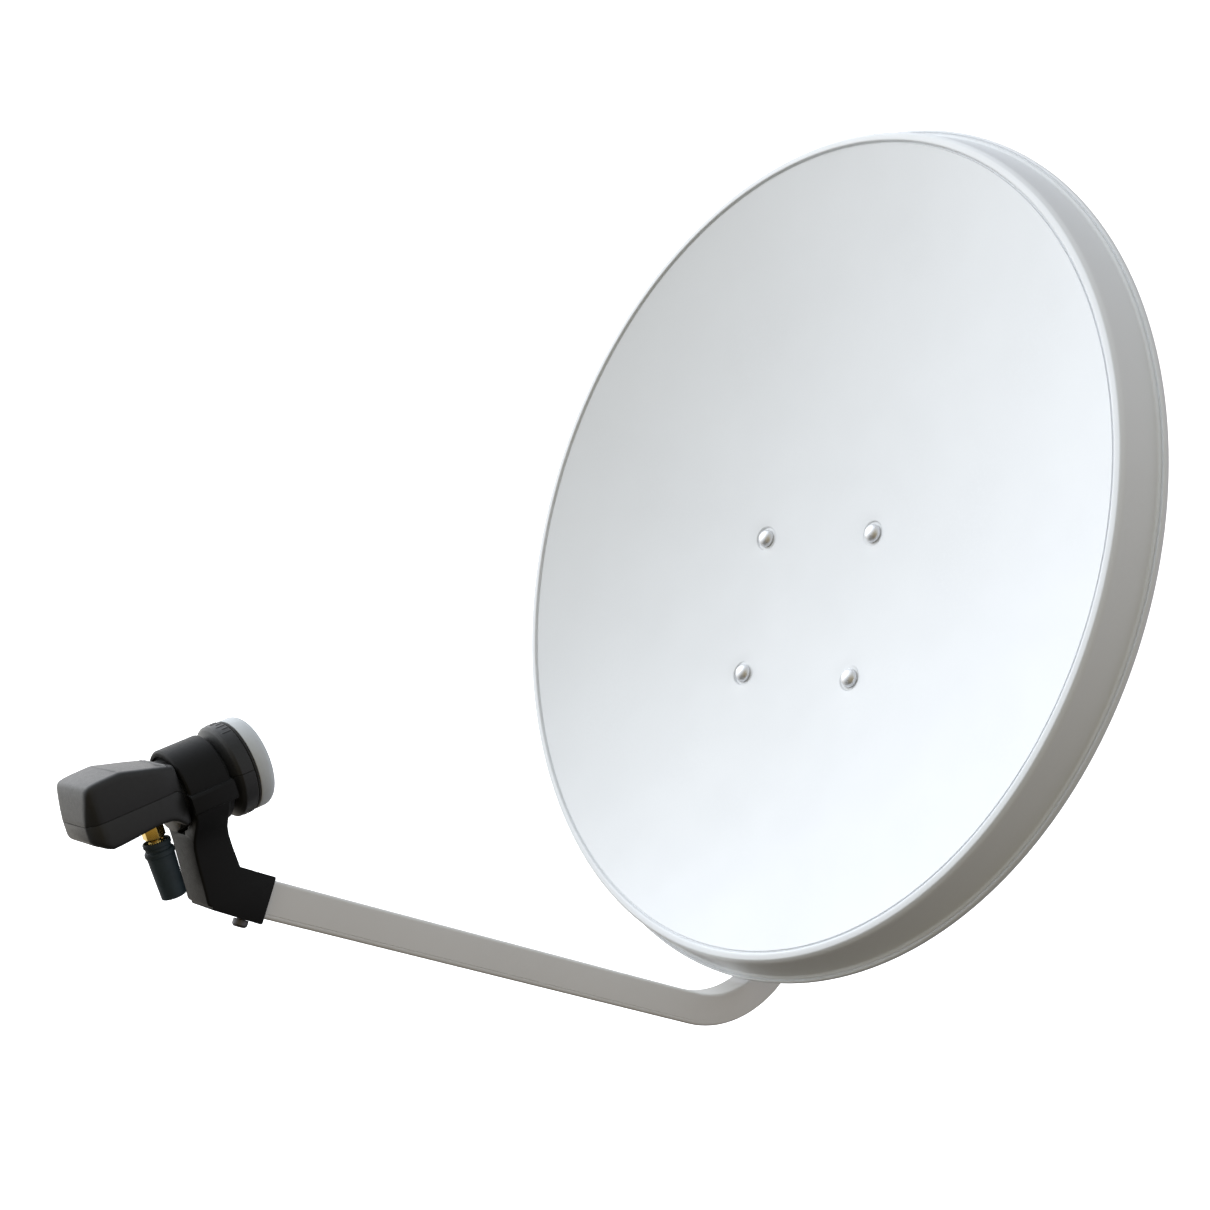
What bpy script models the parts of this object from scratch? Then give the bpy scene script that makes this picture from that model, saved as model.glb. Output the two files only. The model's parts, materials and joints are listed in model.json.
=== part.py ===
"""A 60 cm offset satellite dish: pressed reflector, feed arm and holder, low-noise converter and mast clamp.

+Z is up and the dish looks along -Y. The origin is on the mast's axis, halfway up the clamp. Lengths are in
millimetres until place() turns a finished mesh into metres. The dish frame's origin is the centre of the
bowl's edge, with Y into the bowl and Z up in the plane of the rim. The converter's frame has its origin at
the centre of the holder's ring, with Y along the ring's axis towards the bowl.
"""

from math import asin, atan2, cos, pi, radians, sin, sqrt, tan

import bmesh
import bpy
from mathutils import Matrix, Vector

MM = 0.001
GAP = 0.3  # clearance between pieces that touch
FAR = 60.0  # beyond every piece, for cutting solids

# Fasteners: M6 and M8
M6, M6_HOLE, M6_FLATS, M6_HEAD, M6_NUT, M6_FLANGE = 2.9, 3.3, 10.0, 4.0, 6.0, 6.8
M8, M8_HOLE, M8_FLATS, M8_HEAD, M8_NUT = 3.9, 4.4, 13.0, 5.3, 8.0
NUT_BORE_M6, NUT_BORE_M8 = 3.2, 4.2
SQUARE_NECK, SQUARE_HOLE = 6.0, 3.4  # full width of the neck, half width of its hole

# Reflector
BOWL_A, BOWL_B = 280.0, 299.5  # half width and half height of the bowl's edge
FOCAL_LENGTH = 388.0
SHEET = 1.2
RIM_STEPS, BOWL_RINGS = 60, 6
LIP_OUT, LIP_BACK = 20.5, 29.6  # the rolled lip beyond the bowl's edge, and behind it
BEAD_OUT, BEAD_HEIGHT = 7.4, 1.7
BOLT_X, BOLT_LOW, BOLT_HIGH = 54.6, -96.8, 10.6
BOLT_HEAD, BOLT_RISE, BOLT_LENGTH = 6.9, 5.8, 24.0
BOLT_CLEARANCE = 1.3  # in front of the bowl, which slopes under the heads

# How the dish leans and where it pivots
LEAN = radians(11.84)
PIVOT = Vector((0, -71, 11))
PIVOT_IN_DISH = Vector((0, 95, -20))
LOCK_RADIUS = 46.0
TILT_DOWN, TILT_UP = radians(17), radians(22)

# Back plate
PLATE_FRONT, PLATE = 50.0, 2.5
PLATE_HALF, PLATE_TOP, PLATE_BOTTOM, PLATE_CORNER = 68.0, 25.0, -140.0, 12.0
PLATE_TAB = 26.0  # half the distance between the lower corners' centres
CABLE_HOLE_Z, CABLE_HOLE = -30.0, 17.0
STANDOFF, STANDOFF_FOOT = 8.0, 12.0
CHEEK_IN, CHEEK_OUT = 35.5, 38.0

# Feed arm: a rectangular tube in the plane of symmetry
ARM_WIDTH, ARM_HEIGHT, ARM_WALL, ARM_CORNER = 20.0, 22.0, 1.2, 2.0
ARM_DROP = atan2(0.132, 1)
ARM_START_Y = -388.0
ARM_BEND_CENTRE = (-7.0, -258.4)
ARM_BEND_RADIUS, ARM_RISE_RADIUS = 85.0, 36.6
ARM_BEND_ANGLE = radians(45)
ARM_TOP = -90.0
ARM_BOLT_HEIGHTS = {"upper": -106.0, "lower": -128.0}
ARM_BOLT_HEAD, ARM_BOLT_RISE, ARM_BOLT_LENGTH = 6.5, 3.4, 35.0

# Feed holder
RING_CENTRE = Vector((0, -412.9, -240.6))
RING_PITCH = radians(30.5)
RING_IN, RING_OUT, RING_HALF = 20.3, 25.0, 12.6
EAR_OUT, EAR_DEPTH = 28.4, 10.0
SOCKET_HALF = 14.0
SOCKET = [(-395.6, -305.6), (-361.6, -311.6), (-358.3, -284.4), (-384, -280.6), (-403.5, -290)]
LEG = [(-10, -12.2, 9.2, 23.4), (-14, -12.4, 8.6, 23.0), (-22, -13.8, 7.0, 18.2), (-31, -15.3, 6.3, 14.0),
       (-50, -16.6, 6.9, 14.0), (-62, -17.5, 8.0, 14.0)]  # level, rear, front, half width
SCREW_Y, SCREW_HOLE = -366.0, 3.0

# Converter
NECK = 20.0
BODY_REAR, BODY_FRONT, BODY_HALF = -67.8, -14.0, 23.0
COLLAR_START, COLLAR_FULL, COLLAR_END, CAP_END = 14.3, 18.3, 26.9, 39.3
COLLAR_RADIUS, CAP_RADIUS, SPIGOT_RADIUS = 27.0, 26.8, 24.4
HORN_OUT, HORN_MOUTH, HORN_REAR, WAVEGUIDE = 15.6, 21.6, -16.1, 9.5
PARTING_REAR, PARTING_FRONT = 5.6, 0.6
PORT_Y, PORT_TOP, PORT_END = -28.8, -4.5, -18.0
PORT_RADIUS = 4.75
BOARD_LEVEL, BOARD_HALF = 9.5, 18.0
CONNECTOR_FLATS, CONNECTOR_TOP, CONNECTOR_END = 11.0, -10.6, -18.6
BOOT_TOP, BOOT_LENGTH = -20.6, 33.0

# Mast bracket and clamp
WEB_REAR, WEB_HALF, WEB_HEIGHT = -40.8, 60.0, 34.0
BRACKET_CHEEK_IN, BRACKET_CHEEK_OUT = 32.5, 35.0
JAW_HALF, JAW_HEIGHT, JAW_BACK, JAW_SHEET = 58.0, 20.0, 38.0, 2.5
MAST_RADIUS = 24.0
JAW_OPENING = radians(60)
JAW_PRONG = 9.5
CLAMP_BOLT_X = 46.0
CLAMP_BOLT_END = 68.0


# ---- materials -----------------------------------------------------------------------------------

def material(name, colour, roughness, metallic=0.0):
    made = bpy.data.materials.new(name)
    made.use_nodes = True
    shader = made.node_tree.nodes["Principled BSDF"]
    shader.inputs["Base Color"].default_value = (*colour, 1)
    shader.inputs["Roughness"].default_value = roughness
    shader.inputs["Metallic"].default_value = metallic
    return made


# ---- solids, in millimetres ----------------------------------------------------------------------

def loft(sections):
    """A closed solid through rings of points that all have the same number of points."""
    bm = bmesh.new()
    rings = [[bm.verts.new(point) for point in section] for section in sections]
    count = len(rings[0])
    for lower, upper in zip(rings, rings[1:]):
        for i in range(count):
            j = (i + 1) % count
            bm.faces.new((lower[i], lower[j], upper[j], upper[i]))
    bm.faces.new(rings[0][::-1])
    bm.faces.new(rings[-1])
    bmesh.ops.recalc_face_normals(bm, faces=bm.faces)
    return bm


def axes_for(axis):
    """The two directions across an axis and the one along it, for 'X', 'Y' or 'Z'."""
    x, y, z = Vector((1, 0, 0)), Vector((0, 1, 0)), Vector((0, 0, 1))
    return {"X": (y, z, x), "Y": (z, x, y), "Z": (x, y, z)}[axis]


def prism(outline, axis, low, high):
    """An outline extruded along an axis; its points are (y, z) for X, (z, x) for Y and (x, y) for Z."""
    first, second, along = axes_for(axis)
    return loft([[first * u + second * v + along * end for u, v in outline] for end in (low, high)])


def box(low, high):
    (x0, y0, z0), (x1, y1, z1) = low, high
    return prism([(x0, y0), (x1, y0), (x1, y1), (x0, y1)], "Z", z0, z1)


def circle(radius, steps, turn=0.0, centre=(0.0, 0.0)):
    angles = [turn + 2 * pi * i / steps for i in range(steps)]
    return [(centre[0] + radius * cos(a), centre[1] + radius * sin(a)) for a in angles]


def rod(centre, axis, low, high, radius, steps=12, turn=0.0):
    """A round or many-sided bar along an axis; centre has the two coordinates across it, in prism's order."""
    return prism(circle(radius, steps, turn, centre), axis, low, high)


def turned(profile, axis, centre=(0.0, 0.0), steps=24):
    """A profile of (radius, height) points turned about an axis. It ends on the axis, or closes as a ring."""
    first, second, along = axes_for(axis)
    base = first * centre[0] + second * centre[1]
    bm = bmesh.new()
    loops = []
    for radius, height in profile:
        if radius == 0:
            loops.append([bm.verts.new(base + along * height)] * steps)
            continue
        loops.append([bm.verts.new(base + first * u + second * v + along * height)
                      for u, v in circle(radius, steps)])
    pairs = list(zip(loops, loops[1:]))
    if profile[0][0] > 0:
        pairs.append((loops[-1], loops[0]))
    for one, other in pairs:
        for i in range(steps):
            j = (i + 1) % steps
            corners = list(dict.fromkeys((one[i], one[j], other[j], other[i])))
            if len(corners) > 2:
                bm.faces.new(corners)
    bmesh.ops.recalc_face_normals(bm, faces=bm.faces)
    return bm


def hull_outline(circles, points=(), steps=16):
    """The convex outline round some circles (y, z, radius) and single points."""
    cloud = list(points)
    for y, z, radius in circles:
        cloud += circle(radius, steps, centre=(y, z))
    cloud = sorted(set(cloud))

    def half(ordered):
        kept = []
        for p in ordered:
            while len(kept) > 1 and cross(kept[-2], kept[-1], p) <= 1e-6:
                kept.pop()
            kept.append(p)
        return kept[:-1]

    def cross(o, a, b):
        return (a[0] - o[0]) * (b[1] - o[1]) - (a[1] - o[1]) * (b[0] - o[0])

    return half(cloud) + half(cloud[::-1])


def moved(bm, matrix):
    bmesh.ops.transform(bm, matrix=matrix, verts=bm.verts)
    return bm


def combine(add, cut=(), keep=None):
    """Unions the solids in add, cuts those in cut away, and can keep only what is inside one more solid."""
    helpers = []

    def helper(bm):
        mesh = bpy.data.meshes.new("helper")
        bm.to_mesh(mesh)
        bm.free()
        made = bpy.data.objects.new("helper", mesh)
        bpy.context.scene.collection.objects.link(made)
        helpers.append(made)
        return made

    base = helper(add[0])
    steps = [("UNION", bm) for bm in add[1:]] + [("DIFFERENCE", bm) for bm in cut]
    if keep is not None:
        steps.append(("INTERSECT", keep))
    for operation, bm in steps:
        boolean = base.modifiers.new(operation.lower(), "BOOLEAN")
        boolean.operation = operation
        boolean.object = helper(bm)
    bpy.context.view_layer.update()
    evaluated = base.evaluated_get(bpy.context.evaluated_depsgraph_get())
    result = bmesh.new()
    result.from_mesh(evaluated.to_mesh())
    for made in helpers:
        bpy.data.objects.remove(made)
    return result


def place(name, bm, look, parent, at=(0, 0, 0)):
    """Makes the named object from a solid in millimetres, at a place in its parent's frame."""
    bmesh.ops.scale(bm, vec=(MM, MM, MM), verts=bm.verts)
    mesh = bpy.data.meshes.new(name)
    bm.to_mesh(mesh)
    bm.free()
    mesh.shade_smooth()
    mesh.set_sharp_from_angle(angle=radians(32))
    mesh.materials.append(look)
    return put(name, mesh, parent, at)


def put(name, mesh, parent, at=(0, 0, 0)):
    made = bpy.data.objects.new(name, mesh)
    bpy.context.scene.collection.objects.link(made)
    made.parent = parent
    made.location = Vector(at) * MM
    return made


def frame(name, at, turn=0.0, parent=None):
    """An empty that carries the pieces of one frame, turned about X."""
    empty = bpy.data.objects.new(name, None)
    empty.empty_display_size = 0.02
    bpy.context.scene.collection.objects.link(empty)
    empty.parent = parent
    empty.location = Vector(at) * MM
    empty.rotation_euler.x = turn
    return empty


# ---- fasteners -----------------------------------------------------------------------------------

def carriage_bolt(head, rise, length, neck_length):
    """A domed M6 bolt along Y with a square neck: the head's underside is at 0 and the shank behind it."""
    dome = [(head * sin(a), -rise * cos(a)) for a in (radians(30), radians(60), radians(82))]
    profile = [(0, -rise)] + dome + [(head, 0), (M6, 0), (M6, length), (0, length)]
    square = rod((0, 0), "Y", -0.2, neck_length, SQUARE_NECK / sqrt(2), 4, pi / 4)
    return combine([turned(profile, "Y", steps=16), square])


def hex_bolt(axis, sign, across_flats, head_height, radius, length):
    """A hexagon bolt, with its head's underside at 0 and its shank running towards sign."""
    corner = across_flats / 2 / cos(pi / 6)
    head = rod((0, 0), axis, min(0, -sign * head_height), max(0, -sign * head_height), corner, 6)
    low, high = sorted((-sign * 0.5 * head_height, sign * length))
    return combine([head, rod((0, 0), axis, low, high, radius)])


def flange_nut(axis, sign, across_flats, height, bore, flange):
    """A nut on its flange: the flange's face is at 0, and the nut stands towards sign."""
    corner = across_flats / 2 / cos(pi / 6)
    low, high = sorted((sign * 0.4, sign * height))
    body = rod((0, 0), axis, low, high, corner, 6)
    disc = rod((0, 0), axis, *sorted((0, sign * 1.3)), flange, 16)
    return combine([body, disc], [rod((0, 0), axis, *sorted((-sign, sign * (height + 1))), bore)])


def washer(axis, sign, inner, outer, thickness):
    far = sign * thickness
    return turned([(inner, 0), (outer, 0), (outer, far), (inner, far)], axis, steps=16)


# ---- reflector -----------------------------------------------------------------------------------

def bowl_depth(x, z):
    """How far the bowl's front face lies behind the rim plane: an offset cut from a paraboloid."""
    offset = asin(sqrt(1 - (BOWL_A / BOWL_B) ** 2))
    depth = 0.0
    for _ in range(12):
        up = (z + depth * sin(offset)) * cos(offset)
        depth = (BOWL_A ** 2 - x ** 2 - up ** 2) / (4 * FOCAL_LENGTH) * cos(offset)
    return max(depth, 0.0)


def reflector():
    """The pressed bowl with its bead, skirt and rolled lip; the rim's points are (outwards, backwards)."""
    front_edge = [(1.5, 0.1), (2.2, -BEAD_HEIGHT + 0.3), (4.0, -BEAD_HEIGHT), (6.0, -BEAD_HEIGHT + 0.3),
                  (BEAD_OUT, 0.5), (8.6, 6.0), (13.6, 24.6), (17.4, 25.4), (19.4, 25.0), (LIP_OUT, 27.0)]
    back_edge = [(LIP_OUT, LIP_BACK), (18.4, LIP_BACK - 0.4), (16.6, 27.4), (12.6, 26.0), (7.4, 7.4),
                 (5.8, 1.2), (4.0, SHEET - BEAD_HEIGHT + 0.3), (1.6, SHEET + 0.2)]
    bm = bmesh.new()

    def bowl_loop(part, shift):
        loop = []
        for i in range(RIM_STEPS):
            angle = 2 * pi * i / RIM_STEPS
            x, z = part * BOWL_A * cos(angle), part * BOWL_B * sin(angle)
            loop.append(bm.verts.new((x, bowl_depth(x, z) + shift, z)))
        return loop

    def edge_loop(out, back):
        loop = []
        for i in range(RIM_STEPS):
            angle = 2 * pi * i / RIM_STEPS
            loop.append(bm.verts.new(((BOWL_A + out) * cos(angle), back, (BOWL_B + out) * sin(angle))))
        return loop

    parts = [((k + 1) / BOWL_RINGS) ** 0.8 for k in range(BOWL_RINGS)]
    loops = [bowl_loop(part, 0) for part in parts]
    loops += [edge_loop(*point) for point in front_edge + back_edge]
    loops += [bowl_loop(part, SHEET) for part in parts[::-1]]
    for one, other in zip(loops, loops[1:]):
        for i in range(RIM_STEPS):
            j = (i + 1) % RIM_STEPS
            bm.faces.new((one[i], one[j], other[j], other[i]))
    for loop, shift in ((loops[0], 0), (loops[-1], SHEET)):
        middle = bm.verts.new((0, bowl_depth(0, 0) + shift, 0))
        for i in range(RIM_STEPS):
            bm.faces.new((loop[i], loop[(i + 1) % RIM_STEPS], middle))
    bmesh.ops.recalc_face_normals(bm, faces=bm.faces)
    return combine([bm], [square_hole(x, z) for x, z in bolt_places()])


def square_hole(x, z):
    return box((x - SQUARE_HOLE, 0, z - SQUARE_HOLE), (x + SQUARE_HOLE, FAR, z + SQUARE_HOLE))


def bolt_places():
    return [(x, z) for z in (BOLT_HIGH, BOLT_LOW) for x in (-BOLT_X, BOLT_X)]


# ---- back plate and feed arm ---------------------------------------------------------------------

def back_plate():
    back = PLATE_FRONT + PLATE
    corner = PLATE_CORNER
    circles = [(z, x, corner) for x in (-PLATE_HALF + corner, PLATE_HALF - corner)
               for z in (PLATE_TOP - corner, BOLT_LOW - 4)]
    circles += [(PLATE_BOTTOM + corner, x, corner) for x in (-PLATE_TAB, PLATE_TAB)]
    solids = [prism(hull_outline(circles), "Y", PLATE_FRONT, back)]
    pivot_y, pivot_z = PIVOT_IN_DISH.y, PIVOT_IN_DISH.z
    cheek = hull_outline([(pivot_y, pivot_z, 14), (pivot_y, pivot_z - LOCK_RADIUS, 10)],
                         [(back - 1, 16), (back - 1, -96)])
    for low in (CHEEK_IN, -CHEEK_OUT):
        solids.append(prism(cheek, "X", low, low + CHEEK_OUT - CHEEK_IN))
    holes = []
    for x, z in bolt_places():
        seat = bowl_depth(x, z) + SHEET + 5 * GAP
        cone = [(0, seat), (STANDOFF, seat), (STANDOFF_FOOT, back - 1), (0, back - 1)]
        solids.append(turned(cone, "Y", (z, x), 12))
        holes.append(square_hole(x, z))
    holes += [square_hole(0, z) for z in ARM_BOLT_HEIGHTS.values()]
    holes.append(rod((pivot_y, pivot_z), "X", -FAR, FAR, M8_HOLE))
    holes.append(rod((pivot_y, pivot_z - LOCK_RADIUS), "X", -FAR, FAR, M6_HOLE))
    holes.append(rod((CABLE_HOLE_Z, 0), "Y", 0, FAR, CABLE_HOLE, 24))
    return combine(solids, holes)


def arm_path():
    """Stations along the arm as (y, z, direction): straight, round the bend and up behind the bowl."""
    cy, cz = ARM_BEND_CENTRE
    start = -ARM_DROP
    first = (cy + ARM_BEND_RADIUS * sin(start), cz - ARM_BEND_RADIUS * cos(start))
    stations = [(ARM_START_Y, first[1] + (first[0] - ARM_START_Y) * tan(ARM_DROP), start)]
    for i in range(9):
        angle = start + (ARM_BEND_ANGLE - start) * i / 8
        stations.append((cy + ARM_BEND_RADIUS * sin(angle), cz - ARM_BEND_RADIUS * cos(angle), angle))
    step = ARM_BEND_RADIUS - ARM_RISE_RADIUS
    cy, cz = cy + step * sin(ARM_BEND_ANGLE), cz - step * cos(ARM_BEND_ANGLE)
    for i in range(1, 7):
        angle = ARM_BEND_ANGLE + (pi / 2 - ARM_BEND_ANGLE) * i / 6
        stations.append((cy + ARM_RISE_RADIUS * sin(angle), cz - ARM_RISE_RADIUS * cos(angle), angle))
    stations.append((stations[-1][0], ARM_TOP, pi / 2))
    return stations


def arm_section(width, height, corner, station, ahead=0.0):
    """One chamfered rectangle across the arm, moved ahead along it."""
    y, z, angle = station
    w, h = width / 2, height / 2
    c = corner
    flat = [(w, -h + c), (w, h - c), (w - c, h), (-w + c, h),
            (-w, h - c), (-w, -h + c), (-w + c, -h), (w - c, -h)]
    y, z = y + ahead * cos(angle), z + ahead * sin(angle)
    return [(u, y - v * sin(angle), z + v * cos(angle)) for u, v in flat]


def arm_tube(width, height, corner, beyond):
    stations = arm_path()
    sections = [arm_section(width, height, corner, station) for station in stations]
    sections[0] = arm_section(width, height, corner, stations[0], -beyond)
    sections[-1] = arm_section(width, height, corner, stations[-1], beyond)
    return loft(sections)


def feed_arm():
    inner = arm_tube(ARM_WIDTH - 2 * ARM_WALL, ARM_HEIGHT - 2 * ARM_WALL, ARM_CORNER - ARM_WALL / 2, 2)
    holes = [rod((z, 0), "Y", 0, 2 * FAR, M6_HOLE) for z in ARM_BOLT_HEIGHTS.values()]
    holes.append(arm_hole(SCREW_HOLE))
    return combine([arm_tube(ARM_WIDTH, ARM_HEIGHT, ARM_CORNER, 0)], [inner] + holes)


def arm_centre(y):
    """The height of the arm's middle on its straight run."""
    first_y, first_z, _ = arm_path()[1]
    return first_z + (first_y - y) * tan(ARM_DROP)


def in_arm_frame(bm, y):
    """Takes a solid drawn with Y along the arm to the place y on the arm's straight run."""
    return moved(bm, Matrix.Translation((0, y, arm_centre(y))) @ Matrix.Rotation(-ARM_DROP, 4, "X"))


def arm_hole(radius):
    return in_arm_frame(rod((0, 0), "Z", -20, -6, radius, 12), SCREW_Y)


def arm_end_plug():
    y = arm_path()[-1][0]

    def block(inset, low, high):
        half_w, half_h = ARM_WIDTH / 2 - inset, ARM_HEIGHT / 2 - inset
        return box((-half_w, y - half_h, ARM_TOP + low), (half_w, y + half_h, ARM_TOP + high))

    stem = ARM_WALL + 3 * GAP
    return combine([block(0, GAP, 3), block(stem, -9, 1)], [block(stem + 1.5, -12, -1)])


# ---- feed holder ---------------------------------------------------------------------------------

RING_FRAME = Matrix.Translation(RING_CENTRE) @ Matrix.Rotation(RING_PITCH, 4, "X")


def holder_base():
    """The lower half of the ring, its leg and the socket for the arm, in the dish frame."""
    ring = rod((0, 0), "Y", -RING_HALF, RING_HALF, RING_OUT, 32)
    half_ring = combine([ring], keep=box((-FAR, -FAR, -FAR), (FAR, FAR, -GAP / 2)))
    leg = loft([rectangle(*level) for level in LEG])
    socket = prism(SOCKET, "X", -SOCKET_HALF, SOCKET_HALF)
    bore = rod((0, 0), "Y", -FAR, FAR, RING_IN, 32)
    groove = box((-5, -20, -23.4), (5, -3, -15))
    pocket = in_arm_frame(box((-ARM_WIDTH / 2 - GAP, -100, -ARM_HEIGHT / 2 - GAP),
                              (ARM_WIDTH / 2 + GAP, 60, ARM_HEIGHT / 2 + GAP)), ARM_START_Y + 99)
    return combine([moved(half_ring, RING_FRAME), moved(leg, RING_FRAME), socket],
                   [moved(bore, RING_FRAME), moved(groove, RING_FRAME), pocket, arm_hole(SCREW_HOLE)])


def rectangle(level, rear, front, half):
    return [(-half, rear, level), (half, rear, level), (half, front, level), (-half, front, level)]


def holder_cap():
    """The upper half of the ring, with an ear down each side of the lower half."""
    ring = combine([rod((0, 0), "Y", -RING_HALF, RING_HALF, RING_OUT, 32)],
                   keep=box((-FAR, -FAR, GAP / 2), (FAR, FAR, FAR)))
    ears = []
    for side in (-1, 1):
        inner = RING_OUT + GAP
        outline = [(22.6, GAP), (inner, GAP), (inner, -EAR_DEPTH), (EAR_OUT - 0.8, -EAR_DEPTH),
                   (EAR_OUT, -EAR_DEPTH + 1.2), (EAR_OUT, -0.6), (RING_OUT - 0.6, 1.6), (22.6, 3)]
        ears.append(prism([(z, side * x) for x, z in outline], "Y", -RING_HALF, RING_HALF))
    return combine([ring] + ears, [rod((0, 0), "Y", -FAR, FAR, RING_IN, 32)])


def holder_screw():
    """The pan screw under the socket, through the arm's lower wall."""
    profile = [(0, -19.2), (3.2, -19.1), (4.5, -17.6), (4.5, -15.0), (2.6, -15.0), (2.6, -6.8), (0, -6.0)]
    return in_arm_frame(turned(profile, "Z", steps=16), SCREW_Y)


# ---- converter -----------------------------------------------------------------------------------

def converter_form():
    """The converter's outside as three solids: the wedge-shaped box, the neck and the collar."""
    side = [(BODY_REAR + 4, 25.0), (BODY_REAR, 6.0), (BODY_REAR, -3.6), (BODY_REAR + 4, -7.0),
            (BODY_REAR + 9.5, -10.4), (-33, -8.4), (-22.5, -9.4), (-18.5, -13.5), (-16.2, -15), (-16.2, 17.5),
            (BODY_FRONT, 19.2), (-43, 27.4), (BODY_REAR + 6, 26.4)]
    body = prism(side, "X", -BODY_HALF, BODY_HALF)
    bevel = [edge for edge in body.edges
             if abs(edge.verts[0].co.x - edge.verts[1].co.x) < 1e-6]
    bmesh.ops.bevel(body, geom=bevel, offset=3.0, segments=2, profile=0.5, affect="EDGES", clamp_overlap=True)
    neck = rod((0, 0), "Y", BODY_FRONT - 4, COLLAR_START + 6, NECK, 32)
    collar = turned([(0, COLLAR_START), (NECK, COLLAR_START), (COLLAR_RADIUS, COLLAR_FULL),
                     (COLLAR_RADIUS, COLLAR_END - 0.6), (SPIGOT_RADIUS, COLLAR_END - 0.6),
                     (SPIGOT_RADIUS, COLLAR_END + 6), (0, COLLAR_END + 6)], "Y", steps=32)
    return [body, neck, collar]


def converter_hollow():
    """The space inside for the horn, the circuit board and the port."""
    board_room = box((-19.5, BODY_REAR + 4, -5.2), (19.5, HORN_REAR + GAP, 15.5))
    rear, inner, mouth = HORN_REAR - GAP, HORN_OUT + GAP, HORN_MOUTH + GAP
    horn_room = turned([(0, rear), (inner, rear), (inner, COLLAR_START + 3), (mouth, COLLAR_FULL + 3),
                        (mouth, COLLAR_END + 10), (0, COLLAR_END + 10)], "Y", steps=24)
    port_room = rod((0, PORT_Y), "Z", -30, 0, PORT_RADIUS + GAP)
    return [board_room, horn_room, port_room]


def parting(side):
    """All the space above (side 1) or below (side -1) the joint between the two shells."""
    gap = side * GAP / 2
    rear, front = PARTING_REAR + gap, PARTING_FRONT + gap
    line = [(-2 * FAR, rear), (-16.5, rear), (-10.5, front), (FAR, front)]
    return prism(line + [(FAR, side * FAR), (-2 * FAR, side * FAR)], "X", -FAR, FAR)


def converter_shell(side):
    return combine(converter_form(), converter_hollow(), keep=parting(side))


def feedhorn():
    """The metal waveguide in the neck and the horn that it opens into."""
    groove, face = COLLAR_END - 3, COLLAR_END + 8
    profile = [(WAVEGUIDE, HORN_REAR), (HORN_OUT, HORN_REAR), (HORN_OUT, COLLAR_START + 3),
               (HORN_MOUTH, COLLAR_FULL + 3.4), (HORN_MOUTH, face), (19.8, face), (19.8, groove),
               (16.6, groove), (16.6, face), (14.8, face), (WAVEGUIDE, COLLAR_FULL)]
    return turned(profile, "Y", steps=24)


def horn_cap():
    """The pale cover over the horn, pushed onto the converter's spigot."""
    inner = SPIGOT_RADIUS + GAP
    return turned([(0, CAP_END), (20, CAP_END - 0.3), (24.6, CAP_END - 1.6), (CAP_RADIUS, CAP_END - 4.6),
                   (CAP_RADIUS, COLLAR_END + 1.5), (inner, COLLAR_END + 1.5), (inner, CAP_END - 3.6),
                   (0, CAP_END - 2.0)], "Y", steps=32)


def seal_ring():
    low, high = COLLAR_END - 0.3, COLLAR_END + 1.2
    inner = SPIGOT_RADIUS + GAP
    return turned([(inner, low), (CAP_RADIUS - 0.5, low), (CAP_RADIUS - 0.2, (low + high) / 2),
                   (CAP_RADIUS - 0.5, high), (inner, high)], "Y", steps=24)


def circuit_board():
    board = box((-BOARD_HALF, BODY_REAR + 6, BOARD_LEVEL), (BOARD_HALF, -20, BOARD_LEVEL + 1.6))
    chips = [box((x - w, y - d, BOARD_LEVEL + 1), (x + w, y + d, BOARD_LEVEL + 3.2))
             for x, y, w, d in ((0, -46, 5, 5), (-11, -34, 2.5, 3), (11, -34, 2.5, 3), (10, -54, 4, 2))]
    return combine([board] + chips)


def probe(x_side):
    """One pick-up pin, from the board's end into the waveguide."""
    if x_side:
        return rod((-14, 0), "X", 2.5, WAVEGUIDE - GAP, 0.6, 8)
    return rod((0, -9), "Z", 2.0, WAVEGUIDE - GAP, 0.6, 8)


def f_port():
    """The threaded socket: a flange inside the lower shell, the thread outside and a hollow for the core."""
    thread = [(PORT_RADIUS, -10.4)]
    crest, root, pitch = PORT_RADIUS, PORT_RADIUS - 0.45, 1.8
    level = -11.2
    while level > PORT_END + 1.2:
        thread += [(root, level), (crest, level - pitch / 2)]
        level -= pitch
    profile = [(0, 2.0), (3.4, 2.0), (3.4, PORT_TOP + 1.5), (6.4, PORT_TOP + 1.5), (6.4, PORT_TOP)]
    profile += [(PORT_RADIUS, PORT_TOP)] + thread + [(root, PORT_END), (2.6, PORT_END), (2.6, -12), (0, -12)]
    return turned(profile, "Z", (0, PORT_Y), 16)


def connector_nut():
    """The hexagon nut, with the collar that holds it on the crimp body."""
    corner = CONNECTOR_FLATS / 2 / cos(pi / 6)
    shell = rod((0, PORT_Y), "Z", CONNECTOR_END, CONNECTOR_TOP, corner, 6)
    collar = rod((0, PORT_Y), "Z", CONNECTOR_END - 1, CONNECTOR_END + 0.2, 5.2, 16)
    wide, narrow, ledge = PORT_RADIUS + GAP, 3.2, CONNECTOR_END + 0.1
    profile = [(0, -9), (wide, -9), (wide, ledge), (narrow, ledge), (narrow, -21), (0, -21)]
    return combine([shell, collar], [turned(profile, "Z", (0, PORT_Y), 16)])


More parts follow.
